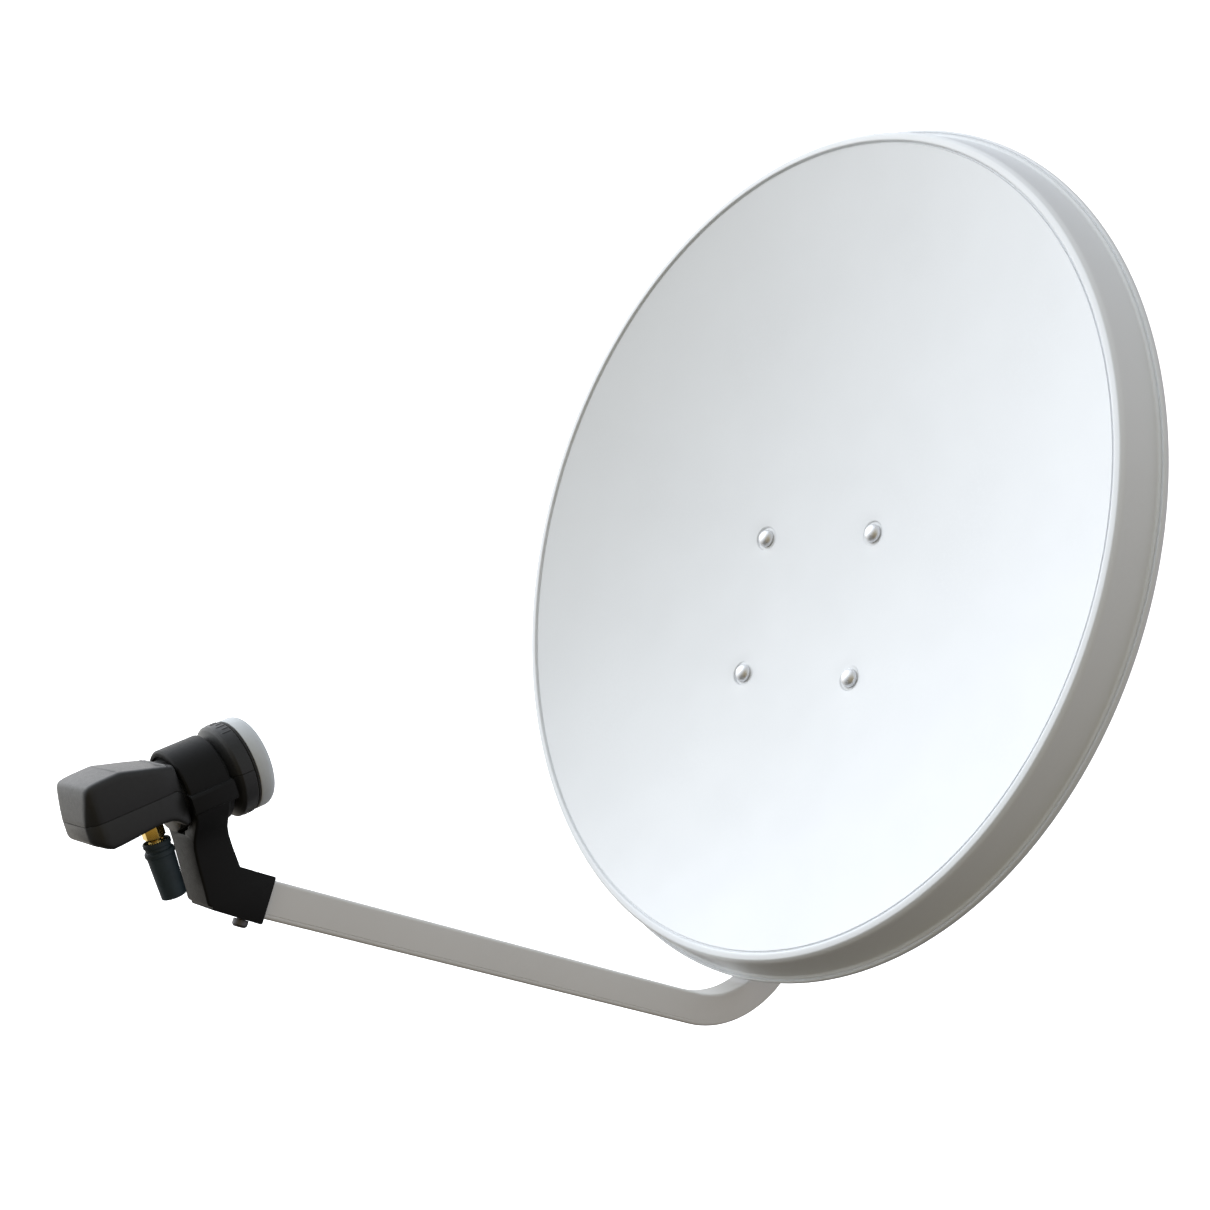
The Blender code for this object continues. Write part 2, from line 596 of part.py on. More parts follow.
def connector_barrel():
    """The knurled crimp body: its post stands inside the nut, with the cable's bore through it."""
    knurl = [(4.3 if i % 2 else 4.0, -21.2 - 1.3 * i) for i in range(8)]
    profile = [(1.8, -18.3), (2.9, -18.3), (2.9, -20.1), (4.0, -20.1)] + knurl
    profile += [(4.0, -32), (3.3, -32), (1.8, -22)]
    return turned(profile, "Z", (0, PORT_Y), 16)


def weather_boot():
    """The rubber sleeve, resting over the crimp body below the nut."""
    top, end = BOOT_TOP, BOOT_TOP - BOOT_LENGTH
    profile = [(6.8, top), (7.6, top - 0.4), (7.7, top - 3.2), (7.1, top - 3.8), (7.1, top - 5.0),
               (8.3, top - 5.6), (8.3, top - 8.2), (7.7, top - 8.8), (6.9, end), (3.6, end), (3.6, end + 4),
               (4.7, end + 5), (4.7, top - 12.6), (6.8, top - 11.6)]
    return turned(profile, "Z", (0, PORT_Y), 16)


# ---- mast bracket and clamp ----------------------------------------------------------------------

def mast_bracket():
    """The web across the mast and two cheeks with the curved slots of the tilt lock."""
    front = WEB_REAR - PLATE
    web = prism(hull_outline([(z, x, 6) for z in (-WEB_HEIGHT + 6, WEB_HEIGHT - 6)
                              for x in (-WEB_HALF + 6, WEB_HALF - 6)], steps=16), "Y", front, WEB_REAR)
    ends = [slot_point(LEAN + TILT_UP), slot_point(LEAN - TILT_DOWN)]
    outline = hull_outline([(PIVOT.y, PIVOT.z, 15)] + [(y, z, 9) for y, z in ends],
                           [(front + 1, WEB_HEIGHT - 3), (front + 1, -WEB_HEIGHT + 3)])
    cheeks = [prism(outline, "X", low, low + BRACKET_CHEEK_OUT - BRACKET_CHEEK_IN)
              for low in (BRACKET_CHEEK_IN, -BRACKET_CHEEK_OUT)]
    holes = [rod((0, x), "Y", -FAR, 0, M8_HOLE) for x in (-CLAMP_BOLT_X, CLAMP_BOLT_X)]
    holes.append(rod((PIVOT.y, PIVOT.z), "X", -FAR, FAR, M8_HOLE))
    holes.append(tilt_slot())
    return combine([web] + cheeks, holes)


def slot_point(angle, radius=LOCK_RADIUS):
    """A point of the slot's circle; angle is forward from straight below the pivot."""
    return PIVOT.y - radius * sin(angle), PIVOT.z - radius * cos(angle)


def tilt_slot():
    half, steps, end_steps = 3.6, 10, 6
    spare = radians(1.5)
    low, high = LEAN - TILT_DOWN - spare, LEAN + TILT_UP + spare
    angles = [low + (high - low) * i / steps for i in range(steps + 1)]
    outline = [slot_point(a, LOCK_RADIUS + half) for a in angles]
    for end, start in ((high, high), (low, low + pi)):
        centre = slot_point(end)
        for i in range(1, end_steps):
            turn = start + pi * i / end_steps
            outline.append((centre[0] - half * sin(turn), centre[1] - half * cos(turn)))
        if end == high:
            outline += [slot_point(a, LOCK_RADIUS - half) for a in angles[::-1]]
    return prism(outline, "X", -FAR, FAR)


def jaw(side):
    """A channel with a toothed V in each flange for the mast; side 1 is behind the mast and -1 in front."""
    vertex = MAST_RADIUS / sin(JAW_OPENING)
    reach = (vertex - JAW_PRONG) * tan(JAW_OPENING)
    teeth, depth = 8, 1.5
    edge = []
    for i in range(-2 * teeth, 2 * teeth + 1):
        x = reach * i / (2 * teeth)
        level = vertex - abs(x) / tan(JAW_OPENING)
        edge.append((x, level + (depth if i % 2 else 0)))
    outline = [(-JAW_HALF, JAW_BACK + 1), (-JAW_HALF, JAW_PRONG)] + edge
    outline += [(JAW_HALF, JAW_PRONG), (JAW_HALF, JAW_BACK + 1)]
    outline = [(x, side * y) for x, y in outline]
    flanges = [prism(outline, "Z", low, low + JAW_SHEET) for low in (-JAW_HEIGHT, JAW_HEIGHT - JAW_SHEET)]
    low, high = sorted((side * JAW_BACK, side * (JAW_BACK + JAW_SHEET)))
    web = box((-JAW_HALF, low, -JAW_HEIGHT), (JAW_HALF, high, JAW_HEIGHT))
    holes = [rod((0, x), "Y", low - 5, high + 5, M8_HOLE) for x in (-CLAMP_BOLT_X, CLAMP_BOLT_X)]
    return combine([web] + flanges, holes)


# ---- assembly ------------------------------------------------------------------------------------

def build_dish(dish, looks):
    place("reflector", reflector(), looks["reflector_paint"], dish)
    for number, (x, z) in enumerate(bolt_places(), 1):
        bolt = carriage_bolt(BOLT_HEAD, BOLT_RISE, BOLT_LENGTH, 5)
        seat = bowl_depth(x, z) - BOLT_CLEARANCE
        place(f"reflector_bolt_{number}", bolt, looks["zinc"], dish, (x, seat, z))
        nut = flange_nut("Y", 1, M6_FLATS, M6_NUT, NUT_BORE_M6, M6_FLANGE)
        place(f"reflector_nut_{number}", nut, looks["zinc"], dish, (x, PLATE_FRONT + PLATE + GAP, z))
    place("back_plate", back_plate(), looks["bracket_paint"], dish)
    place("feed_arm", feed_arm(), looks["arm_paint"], dish)
    place("arm_end_plug", arm_end_plug(), looks["black_plastic"], dish)
    rear = arm_path()[-1][0] + ARM_HEIGHT / 2 + GAP
    for name, z in ARM_BOLT_HEIGHTS.items():
        bolt = carriage_bolt(ARM_BOLT_HEAD, ARM_BOLT_RISE, ARM_BOLT_LENGTH, 3)
        place(f"arm_bolt_{name}", bolt, looks["zinc"], dish, (0, PLATE_FRONT - GAP, z))
        nut = flange_nut("Y", 1, M6_FLATS, M6_NUT, NUT_BORE_M6, M6_FLANGE)
        place(f"arm_nut_{name}", nut, looks["zinc"], dish, (0, rear, z))
    place("lnb_holder_base", holder_base(), looks["black_plastic"], dish)
    place("holder_screw", holder_screw(), looks["zinc"], dish)
    pivot_y, pivot_z = PIVOT_IN_DISH.y, PIVOT_IN_DISH.z
    face = CHEEK_OUT + GAP
    bolt = hex_bolt("X", -1, M8_FLATS, M8_HEAD, M8, 86)
    place("pivot_bolt", bolt, looks["zinc"], dish, (face, pivot_y, pivot_z))
    nut = flange_nut("X", -1, M8_FLATS, M8_NUT, NUT_BORE_M8, 8.8)
    place("pivot_nut", nut, looks["zinc"], dish, (-face, pivot_y, pivot_z))
    inside = BRACKET_CHEEK_IN - GAP
    for name, side in (("left", -1), ("right", 1)):
        bolt = hex_bolt("X", side, M6_FLATS, M6_HEAD, M6, 15)
        place(f"lock_bolt_{name}", bolt, looks["zinc"], dish, (side * inside, pivot_y, pivot_z - LOCK_RADIUS))
        nut = flange_nut("X", side, M6_FLATS, M6_NUT, NUT_BORE_M6, M6_FLANGE)
        place(f"lock_nut_{name}", nut, looks["zinc"], dish, (side * face, pivot_y, pivot_z - LOCK_RADIUS))


def build_converter(ring, looks):
    black = looks["black_plastic"]
    place("lnb_holder_cap", holder_cap(), black, ring)
    axis = frame("lnb_axis", (0, 0, 0), parent=ring)
    place("lnb_upper_shell", converter_shell(1), black, axis)
    place("lnb_lower_shell", converter_shell(-1), black, axis)
    place("lnb_feedhorn", feedhorn(), looks["cast_metal"], axis)
    place("lnb_horn_cap", horn_cap(), looks["cap_plastic"], axis)
    place("lnb_seal_ring", seal_ring(), looks["seal_rubber"], axis)
    place("lnb_circuit_board", circuit_board(), looks["board"], axis)
    place("lnb_probe_vertical", probe(False), looks["gold"], axis)
    place("lnb_probe_horizontal", probe(True), looks["gold"], axis)
    place("lnb_f_port", f_port(), looks["gold"], axis)
    place("f_connector_nut", connector_nut(), looks["gold"], axis)
    place("f_connector_barrel", connector_barrel(), looks["gold"], axis)
    place("weather_boot", weather_boot(), looks["boot_rubber"], axis)


def build_mast_clamp(looks):
    zinc = looks["zinc"]
    place("mast_bracket", mast_bracket(), looks["bracket_paint"], None)
    place("jaw_front", jaw(-1), zinc, None)
    place("jaw_rear", jaw(1), zinc, None)
    front = WEB_REAR - PLATE - GAP
    rear = JAW_BACK + JAW_SHEET + GAP
    for name, x in (("left", -CLAMP_BOLT_X), ("right", CLAMP_BOLT_X)):
        bolt = hex_bolt("Y", 1, M8_FLATS, M8_HEAD, M8, CLAMP_BOLT_END - front)
        place(f"clamp_bolt_{name}", bolt, zinc, None, (x, front, 0))
        place(f"clamp_washer_{name}", washer("Y", 1, 4.2, 8.5, 1.6), zinc, None, (x, rear, 0))
        nut = flange_nut("Y", 1, M8_FLATS, M8_NUT, NUT_BORE_M8, 8.0)
        place(f"clamp_nut_{name}", nut, zinc, None, (x, rear + 1.6 + GAP, 0))


def main():
    for old in list(bpy.data.objects):
        bpy.data.objects.remove(old)
    looks = {
        "reflector_paint": material("reflector_paint", (0.72, 0.74, 0.76), 0.35),
        "bracket_paint": material("bracket_paint", (0.42, 0.42, 0.41), 0.45),
        "arm_paint": material("arm_paint", (0.42, 0.41, 0.38), 0.42),
        "black_plastic": material("black_plastic", (0.015, 0.015, 0.016), 0.5),
        "cap_plastic": material("cap_plastic", (0.66, 0.69, 0.71), 0.4),
        "seal_rubber": material("seal_rubber", (0.02, 0.02, 0.02), 0.7),
        "boot_rubber": material("boot_rubber", (0.03, 0.05, 0.065), 0.65),
        "zinc": material("zinc", (0.62, 0.63, 0.64), 0.3, 1.0),
        "cast_metal": material("cast_metal", (0.5, 0.5, 0.5), 0.45, 1.0),
        "gold": material("gold", (0.83, 0.6, 0.18), 0.25, 1.0),
        "board": material("board", (0.02, 0.16, 0.06), 0.5),
    }
    pivot = frame("elevation_pivot", PIVOT, -LEAN)
    dish = frame("dish_frame", -PIVOT_IN_DISH, parent=pivot)
    ring = frame("ring_frame", RING_CENTRE, RING_PITCH, dish)
    build_dish(dish, looks)
    build_converter(ring, looks)
    build_mast_clamp(looks)


main()
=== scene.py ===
"""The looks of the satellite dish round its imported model: fine meshes, materials, studio and camera.

Shapes are drawn in millimetres in one of three frames, and piece() puts them into the world in metres.
DISH has its origin at the centre of the bowl's edge, with Y into the bowl and Z up in the rim's plane.
RING has its origin at the centre of the holder's ring, with Y along the converter. MAST is the world's own.
"""

import json
from math import asin, atan2, ceil, cos, hypot, pi, radians, sin, sqrt, tan

import bmesh
import bpy
from mathutils import Matrix, Vector, geometry


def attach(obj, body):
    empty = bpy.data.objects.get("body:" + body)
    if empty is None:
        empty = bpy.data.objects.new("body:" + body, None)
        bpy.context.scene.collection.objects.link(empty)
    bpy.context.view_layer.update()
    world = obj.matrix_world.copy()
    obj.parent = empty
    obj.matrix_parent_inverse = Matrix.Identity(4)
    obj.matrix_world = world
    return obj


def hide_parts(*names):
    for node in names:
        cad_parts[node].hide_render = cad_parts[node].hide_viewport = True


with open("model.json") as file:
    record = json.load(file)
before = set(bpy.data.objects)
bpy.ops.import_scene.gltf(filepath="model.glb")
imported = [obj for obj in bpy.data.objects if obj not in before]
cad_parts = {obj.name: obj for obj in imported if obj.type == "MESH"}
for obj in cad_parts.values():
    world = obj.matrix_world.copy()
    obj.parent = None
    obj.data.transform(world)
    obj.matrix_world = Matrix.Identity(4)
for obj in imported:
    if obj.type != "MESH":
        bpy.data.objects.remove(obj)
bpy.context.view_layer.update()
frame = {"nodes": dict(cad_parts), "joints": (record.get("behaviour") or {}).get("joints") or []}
JOINTS = {joint["name"]: joint for joint in frame["joints"]}

MM = 0.001
GAP = 0.3  # clearance between pieces that touch
FAR = 60.0  # enough to cut right through a solid

# Fasteners: thread's and hole's radius, flats, height of head and nut, radius of the nut's flange
M6, M6_HOLE, M6_FLATS, M6_HEAD, M6_NUT, M6_FLANGE = 2.9, 3.3, 10.0, 4.0, 6.0, 6.8
M8, M8_HOLE, M8_FLATS, M8_HEAD, M8_NUT, M8_FLANGE = 3.9, 4.4, 13.0, 5.3, 8.0, 8.8
SQUARE_NECK, SQUARE_HOLE = 6.0, 3.4  # width of the neck, half width of its hole
FLANGE = 0.9
WASHER_IN, WASHER_OUT, WASHER = 4.2, 8.5, 1.6

# Reflector
BOWL_A, BOWL_B = 280.0, 299.5  # half width and half height of the bowl's edge
FOCAL_LENGTH = 388.0
SHEET = 1.2
BOLT_X, BOLT_LOW, BOLT_HIGH = 54.6, -96.8, 10.6
BOWL_BOLT = 6.9, 5.5, 24.0, 5.0  # head's radius and rise, length of bolt and neck
DIMPLE_EDGE, DIMPLE_DEPTH, DIMPLE_WALL = 9.2, 1.2, 0.9
DIP_EDGE, DIP_DEPTH, DIP_WALL = 16.2, 0.336, 8.0  # the shallow dip round each dimple
RIM_STEPS, BOWL_RINGS, DIMPLE_STEPS = 240, 44, 40
DIMPLE_CLEAR = 17.0  # the bowl's own rings keep this far from a bolt

# Back plate
PIVOT_Y, PIVOT_Z = 95.0, -20.0
LOCK_RADIUS = 46.0
TILT_DOWN, TILT_UP = radians(17), radians(22)
PLATE_FRONT, PLATE = 50.0, 2.5
PLATE_HALF, PLATE_TOP, PLATE_BOTTOM, PLATE_CORNER = 68.0, 25.0, -140.0, 12.0
PLATE_TAB = 26.0  # half the distance between the lower corners' centres
CABLE_HOLE_Z, CABLE_HOLE = -30.0, 17.0
STANDOFF, STANDOFF_FOOT = 8.0, 12.0
CHEEK_IN, CHEEK_OUT = 35.5, 38.0

# Feed arm
ARM_WIDTH, ARM_HEIGHT, ARM_WALL, ARM_CORNER = 20.0, 22.0, 1.2, 2.0
ARM_DROP = atan2(0.132, 1)
ARM_START_Y = -388.0
ARM_BEND_CENTRE = (-7.0, -258.4)
ARM_BEND_RADIUS, ARM_RISE_RADIUS = 85.0, 36.6
ARM_BEND_ANGLE = radians(45)
ARM_STEPS, BEND_STEPS, RISE_STEPS = 24, 40, 20
ARM_TOP = -90.0
ARM_BOLT_HEIGHTS = {"upper": -106.0, "lower": -128.0}
ARM_BOLT = 6.5, 3.4, 35.0, 3.0
SEAM_HEIGHT, SEAM_HALF, SEAM_DEPTH, SEAM_FADE = -8.1, 0.28, 0.35, 12

# Feed holder
RING_CENTRE = Vector((0, -412.9, -240.6))
RING_PITCH = radians(30.5)
RING_IN, RING_OUT, RING_HALF, RING_EDGE = 20.3, 25.0, 12.6, 1.1
EAR_IN, EAR_OUT, EAR_DEPTH, EAR_PROUD = 22.6, 28.4, 10.0, 0.7
SOCKET_HALF = 14.0
SOCKET = [(-392.6, -306.1), (-361.6, -311.6), (-358.3, -284.4), (-384, -280.6), (-401, -290)]
TRAY_Y, TRAY_RIM, TRAY_DEPTH = -382.0, 2.0, 1.3  # the sunk field on top of the socket
SCREW_Y = -366.0

# Converter
NECK = 20.0
BODY_REAR, BODY_FRONT = -67.8, -14.0
BODY_RIDGES = [(-43.6, 26.9), (-17.4, 19.8)]
COLLAR_START, COLLAR_FULL, COLLAR_END, CAP_END = 14.3, 18.3, 26.9, 39.3
COLLAR_RADIUS, CAP_RADIUS, SPIGOT_RADIUS = 27.0, 26.8, 24.4
HORN_OUT, HORN_MOUTH, HORN_REAR = 15.6, 21.6, -16.1
PARTING_REAR, PARTING_FRONT = 5.6, 0.6
PORT_Y, PORT_TOP, PORT_END = -28.8, -4.5, -18.0
PORT_RADIUS, PORT_BORE, PORT_PITCH = 4.75, 2.6, 0.9
CONNECTOR_FLATS, CONNECTOR_TOP, CONNECTOR_END = 11.0, -10.6, -18.7
BOOT_TOP = -20.6

# Mast bracket and clamp
WEB_REAR, WEB_HALF, WEB_HEIGHT, WEB_CORNER = -40.8, 60.0, 34.0, 6.0
BRACKET_CHEEK_IN, BRACKET_CHEEK_OUT = 32.5, 35.0
SLOT_HALF = 3.6
JAW_HALF, JAW_HEIGHT, JAW_BACK, JAW_SHEET = 58.0, 20.0, 38.0, 2.5
MAST_RADIUS = 24.0
JAW_OPENING = radians(60)
JAW_PRONG, JAW_TEETH, JAW_TOOTH = 9.5, 8, 1.5
CLAMP_BOLT_X, CLAMP_BOLT_END = 46.0, 68.0

# Soft light from the sky: where each broad glow comes from, and its colour
SKY = [((-1, 0, 0), (0.97, 0.90, 0.78)), ((-1, 0, 1), (1.18, 1.24, 1.38)), ((-1, -1, 1), (1.72, 1.83, 1.93)),
       ((1, 1, 0), (0.63, 0.62, 0.66)), ((1, 0, 1), (0.53, 0.56, 0.57)), ((1, -1, 0), (0.25, 0.17, 0.03))]
FILL = (0.03, 0.03, 0.032)
GLOW_FOCUS = 3.0  # power of the cosine: a higher one makes a narrower glow

# Key lamp, camera and backdrop, in metres
LAMP_SIZE, LAMP_POWER, LAMP_COLOUR = 1.2, 11, (1.0, 0.99, 0.97)
LAMP_PLACE, LAMP_TARGET = Vector((-1.9, -2.1, 1.7)), Vector((0, -0.2, 0))
LENS, SENSOR = 46.5, 36
CAMERA_PLACE, CAMERA_AIM = (0.8176, -0.9784, -0.0017), Vector((-0.7786, 0.6276, 0.0007))
FLOOR, WALL, WALL_CURVE, WALL_TOP = -0.85, 7.0, 1.6, 7.0

# The three frames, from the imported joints
PIVOT = Vector(JOINTS["elevation_tilt"]["pos_m"]) / MM
RING_AXIS = JOINTS["converter_skew"]["axis"]
MAST = Matrix.Identity(4)
RING = (Matrix.Translation(Vector(JOINTS["converter_skew"]["pos_m"]) / MM)
        @ Matrix.Rotation(atan2(RING_AXIS[2], RING_AXIS[1]), 4, "X"))
RING_IN_DISH = Matrix.Translation(RING_CENTRE) @ Matrix.Rotation(RING_PITCH, 4, "X")
DISH = RING @ RING_IN_DISH.inverted()
LEAN = RING_PITCH - atan2(RING_AXIS[2], RING_AXIS[1])


# ---- materials

class Look:
    """A node material under construction: one Principled shader fed by patterns in object space."""

    def __init__(self, name, colour, roughness, metallic=0.0):
        self.made = bpy.data.materials.new(name)
        self.made.use_nodes = True
        self.tree = self.made.node_tree
        self.shader = self.tree.nodes["Principled BSDF"]
        self.colour, self.roughness = colour, roughness
        self.set("Base Color", (*colour, 1))
        self.set("Roughness", roughness)
        self.set("Metallic", metallic)
        self.place = self.tree.nodes.new("ShaderNodeTexCoord").outputs["Object"]
        self.height = None

    def set(self, name, value):
        self.shader.inputs[name].default_value = value

    def node(self, kind, source, target, **values):
        """A new node, with a source linked to one input and values for others."""
        made = self.tree.nodes.new(kind)
        for name, value in values.items():
            made.inputs[name].default_value = value
        self.link(source, made.inputs[target])
        return made

    def link(self, source, target):
        self.tree.links.new(source, target)

    def noise(self, per_metre, detail):
        """A noise pattern with that many cells per metre."""
        noise = self.node("ShaderNodeTexNoise", self.place, "Vector", Scale=per_metre, Detail=detail)
        return noise.outputs["Fac"]

    def cells(self, per_metre):
        """A pattern of small pits."""
        return self.node("ShaderNodeTexVoronoi", self.place, "Vector", Scale=per_metre).outputs["Distance"]

    def ranged(self, source, low, high, start=0.3, end=0.7):
        """Spreads a pattern's values between start and end over low to high."""
        limits = {"From Min": start, "From Max": end, "To Min": low, "To Max": high}
        return self.node("ShaderNodeMapRange", source, "Value", **limits).outputs["Result"]

    def mottle(self, source, other, start=0.3, end=0.7):
        """Mixes the base colour towards another one by a pattern."""
        mix = self.tree.nodes.new("ShaderNodeMix")
        mix.data_type = "RGBA"
        self.link(self.ranged(source, 0, 1, start, end), mix.inputs["Factor"])
        current = self.shader.inputs["Base Color"]
        if current.is_linked:
            self.link(current.links[0].from_socket, mix.inputs["A"])
        else:
            mix.inputs["A"].default_value = (*self.colour, 1)
        mix.inputs["B"].default_value = (*other, 1)
        self.link(mix.outputs["Result"], current)

    def shine(self, source, spread):
        """Varies the roughness by a pattern."""
        varied = self.ranged(source, self.roughness - spread, self.roughness + spread)
        self.link(varied, self.shader.inputs["Roughness"])

    def bump(self, source, depth, strength=1.0):
        """Adds one more layer of relief, its depth in metres."""
        bump = self.node("ShaderNodeBump", source, "Height", Strength=strength, Distance=depth)
        if self.height is not None:
            self.link(self.height, bump.inputs["Normal"])
        self.height = bump.outputs["Normal"]
        self.link(self.height, self.shader.inputs["Normal"])


def tinted(colour, factor):
    return tuple(min(1.0, part * factor) for part in colour)


def powder_paint(name, colour, roughness):
    """Sprayed and baked paint: a faint orange peel, a little unevenness in tone and gloss."""
    look = Look(name, colour, roughness)
    look.mottle(look.noise(9, 4), tinted(colour, 0.965))
    look.mottle(look.noise(420, 2), tinted(colour, 0.985), 0.45, 0.75)
    look.shine(look.noise(35, 4), 0.04)
    look.bump(look.noise(700, 2), 0.00006, 0.35)
    look.bump(look.noise(90, 2), 0.0002, 0.12)
    look.set("Coat Weight", 0.12)
    look.set("Coat Roughness", 0.25)
    return look.made


def moulded_plastic(name, colour, roughness, grain=0.00005, shine=0.3, cloud=1.12):
    """Injection-moulded plastic with a fine spark-eroded texture; cloud is how far its tone varies."""
    look = Look(name, colour, roughness)
    look.mottle(look.noise(400, 3), tinted(colour, cloud))
    look.shine(look.noise(500, 3), 0.03)
    look.bump(look.cells(2600), grain, 0.5)
    look.bump(look.noise(1500, 3), grain, 0.5)
    look.set("Specular IOR Level", shine)
    return look.made


def rubber(name, colour, roughness):
    look = Look(name, colour, roughness)
    look.mottle(look.noise(130, 5), tinted(colour, 1.5))
    look.shine(look.noise(300, 3), 0.07)
    look.bump(look.noise(1800, 3), 0.00005, 0.6)
    look.set("Specular IOR Level", 0.35)
    return look.made


def plated_metal(name, colour, roughness, other, metallic=1.0):
    """Plated or cast metal, with slight clouding and a very fine grain."""
    look = Look(name, colour, roughness, metallic)
    look.mottle(look.noise(160, 4), other)
    look.shine(look.noise(700, 3), roughness * 0.2)
    look.bump(look.noise(3000, 2), 0.000004, 0.2)
    return look.made


def circuit_green(name):
    look = Look(name, (0.012, 0.11, 0.045), 0.4)
    look.mottle(look.noise(700, 2), (0.03, 0.2, 0.08), 0.5, 0.56)
    look.bump(look.noise(700, 2), 0.00003, 0.5)
    return look.made


LOOKS = {
    "reflector_paint": powder_paint("dish_paint", (0.755, 0.78, 0.81), 0.42),
    "bracket_paint": powder_paint("bracket_paint", (0.42, 0.425, 0.42), 0.5),
    # The feed arm's paint is the dish's paint made darker and warmer: painted shade on the arm
    "arm_paint": powder_paint("arm_paint", (0.68, 0.675, 0.66), 0.45),
    "black_plastic": moulded_plastic("black_plastic", (0.005, 0.005, 0.0048), 0.48, shine=0.15),
    "converter_plastic": moulded_plastic("converter_plastic", (0.02, 0.0205, 0.021), 0.4),
    "cap_plastic": moulded_plastic("cap_plastic", (0.52, 0.55, 0.57), 0.42, 0.00002, cloud=1.035),
    "seal_rubber": rubber("seal_rubber", (0.015, 0.015, 0.015), 0.7),
    "boot_rubber": rubber("boot_rubber", (0.017, 0.028, 0.035), 0.6),
    "zinc_steel": plated_metal("zinc_steel", (0.8, 0.81, 0.83), 0.33, (0.74, 0.75, 0.77), metallic=0.75),
    "cast_metal": plated_metal("cast_metal", (0.42, 0.42, 0.43), 0.42, (0.35, 0.35, 0.36)),
    # A darker, slightly rougher copy of the zinc plating: painted shade for the clamp's jaws
    "jaw_zinc_painted_shade": plated_metal("jaw_zinc_painted_shade", (0.58, 0.585, 0.6), 0.42, (0.5, 0.505, 0.52), metallic=0.9),
    # A dark copy of the zinc plating: painted shade for the holder's screw under the socket
    "zinc_in_painted_shade": plated_metal("zinc_in_painted_shade", (0.15, 0.147, 0.15), 0.45, (0.11, 0.108, 0.11), metallic=0.8),
    "gold_plate": plated_metal("gold_plate", (1.0, 0.76, 0.26), 0.26, (0.95, 0.68, 0.2)),
    "board": circuit_green("board"),
}


# ---- solids, in millimetres

def bridge(bm, loops, closed=False):
    """Faces between neighbouring loops of points, and from the last loop to the first if closed."""
    pairs = list(zip(loops, loops[1:])) + ([(loops[-1], loops[0])] if closed else [])
    count = len(loops[0])
    for one, other in pairs:
        for i in range(count):
            j = (i + 1) % count
            corners = list(dict.fromkeys((one[i], one[j], other[j], other[i])))
            if len(corners) > 2:
                bm.faces.new(corners)


def loft(sections, looped=False):
    """A solid through sections of points, all with the same number; looped, its ends meet."""
    bm = bmesh.new()
    loops = [[bm.verts.new(point) for point in section] for section in sections]
    bridge(bm, loops, looped)
    if not looped:
        bm.faces.new(loops[0][::-1])
        bm.faces.new(loops[-1])
    bmesh.ops.recalc_face_normals(bm, faces=bm.faces)
    return bm


def axes_for(axis):
    """The two directions across an axis and the one along it, for 'X', 'Y' or 'Z'."""
    x, y, z = Vector((1, 0, 0)), Vector((0, 1, 0)), Vector((0, 0, 1))
    return {"X": (y, z, x), "Y": (z, x, y), "Z": (x, y, z)}[axis]


def prism(outline, axis, low, high):
    """An outline extruded along an axis; its points are (y, z) for X, (z, x) for Y and (x, y) for Z."""
    first, second, along = axes_for(axis)
    return loft([[first * u + second * v + along * end for u, v in outline] for end in (low, high)])


def box(low, high):
    (x0, y0, z0), (x1, y1, z1) = low, high
    return prism([(x0, y0), (x1, y0), (x1, y1), (x0, y1)], "Z", z0, z1)


def circle(radius, steps, turn=0.0, centre=(0.0, 0.0)):
    angles = [turn + 2 * pi * i / steps for i in range(steps)]
    return [(centre[0] + radius * cos(a), centre[1] + radius * sin(a)) for a in angles]


def rod(centre, axis, low, high, radius, steps=48):
    """A round or many-sided bar along an axis; centre has the two coordinates across it, in prism's order."""
    return prism(circle(radius, steps, centre=centre), axis, low, high)


def turned(profile, axis, centre=(0.0, 0.0), steps=96):
    """A profile of (radius, height) points turned about an axis. It ends on the axis, or closes as a ring."""
    first, second, along = axes_for(axis)
    base = first * centre[0] + second * centre[1]
    bm = bmesh.new()
    loops = []
    for radius, height in profile:
        level = base + along * height
        if radius == 0:
            loops.append([bm.verts.new(level)] * steps)
        else:
            loops.append([bm.verts.new(level + first * u + second * v) for u, v in circle(radius, steps)])
    bridge(bm, loops, profile[0][0] > 0)
    bmesh.ops.recalc_face_normals(bm, faces=bm.faces)
    return bm


def rounded(profile, radius, steps=5, closed=False):
    """A line of points with its inner corners rounded by arcs of up to that radius."""
    points = [Vector(p) for p in profile]
    result = []
    for i, corner in enumerate(points):
        before, after = points[i - 1] - corner, points[(i + 1) % len(points)] - corner
        at_end = not closed and i in (0, len(points) - 1)
        if at_end or before.length < 1e-6 or after.length < 1e-6 or before.angle(after) > radians(170):
            result.append(tuple(corner))
            continue
        half = before.angle(after) / 2
        reach = min(radius / max(tan(half), 1e-3), 0.45 * before.length, 0.45 * after.length)
        start, end = corner + before.normalized() * reach, corner + after.normalized() * reach
        for t in (k / steps for k in range(steps + 1)):
            result.append(tuple(start * (1 - t) ** 2 + corner * 2 * t * (1 - t) + end * t ** 2))
    return result


def rounded_rectangle(low_u, high_u, low_v, high_v, radius, steps=5):
    corners = [(low_u, low_v), (high_u, low_v), (high_u, high_v), (low_u, high_v)]
    return rounded(corners, radius, steps, closed=True)


def hull_outline(circles, points=()):
    """The convex outline round some circles (y, z, radius) and single points."""
    cloud = list(points)
    for y, z, radius in circles:
        cloud += circle(radius, 48, centre=(y, z))
    return [cloud[i] for i in geometry.convex_hull_2d([Vector(p) for p in cloud])]


def moved(bm, matrix):
    bmesh.ops.transform(bm, matrix=matrix, verts=bm.verts)
    return bm


def placed(name, data):
    """A new object in the scene; data is a lamp, a camera or a mesh."""
    made = bpy.data.objects.new(name, data)
    bpy.context.scene.collection.objects.link(made)
    return made


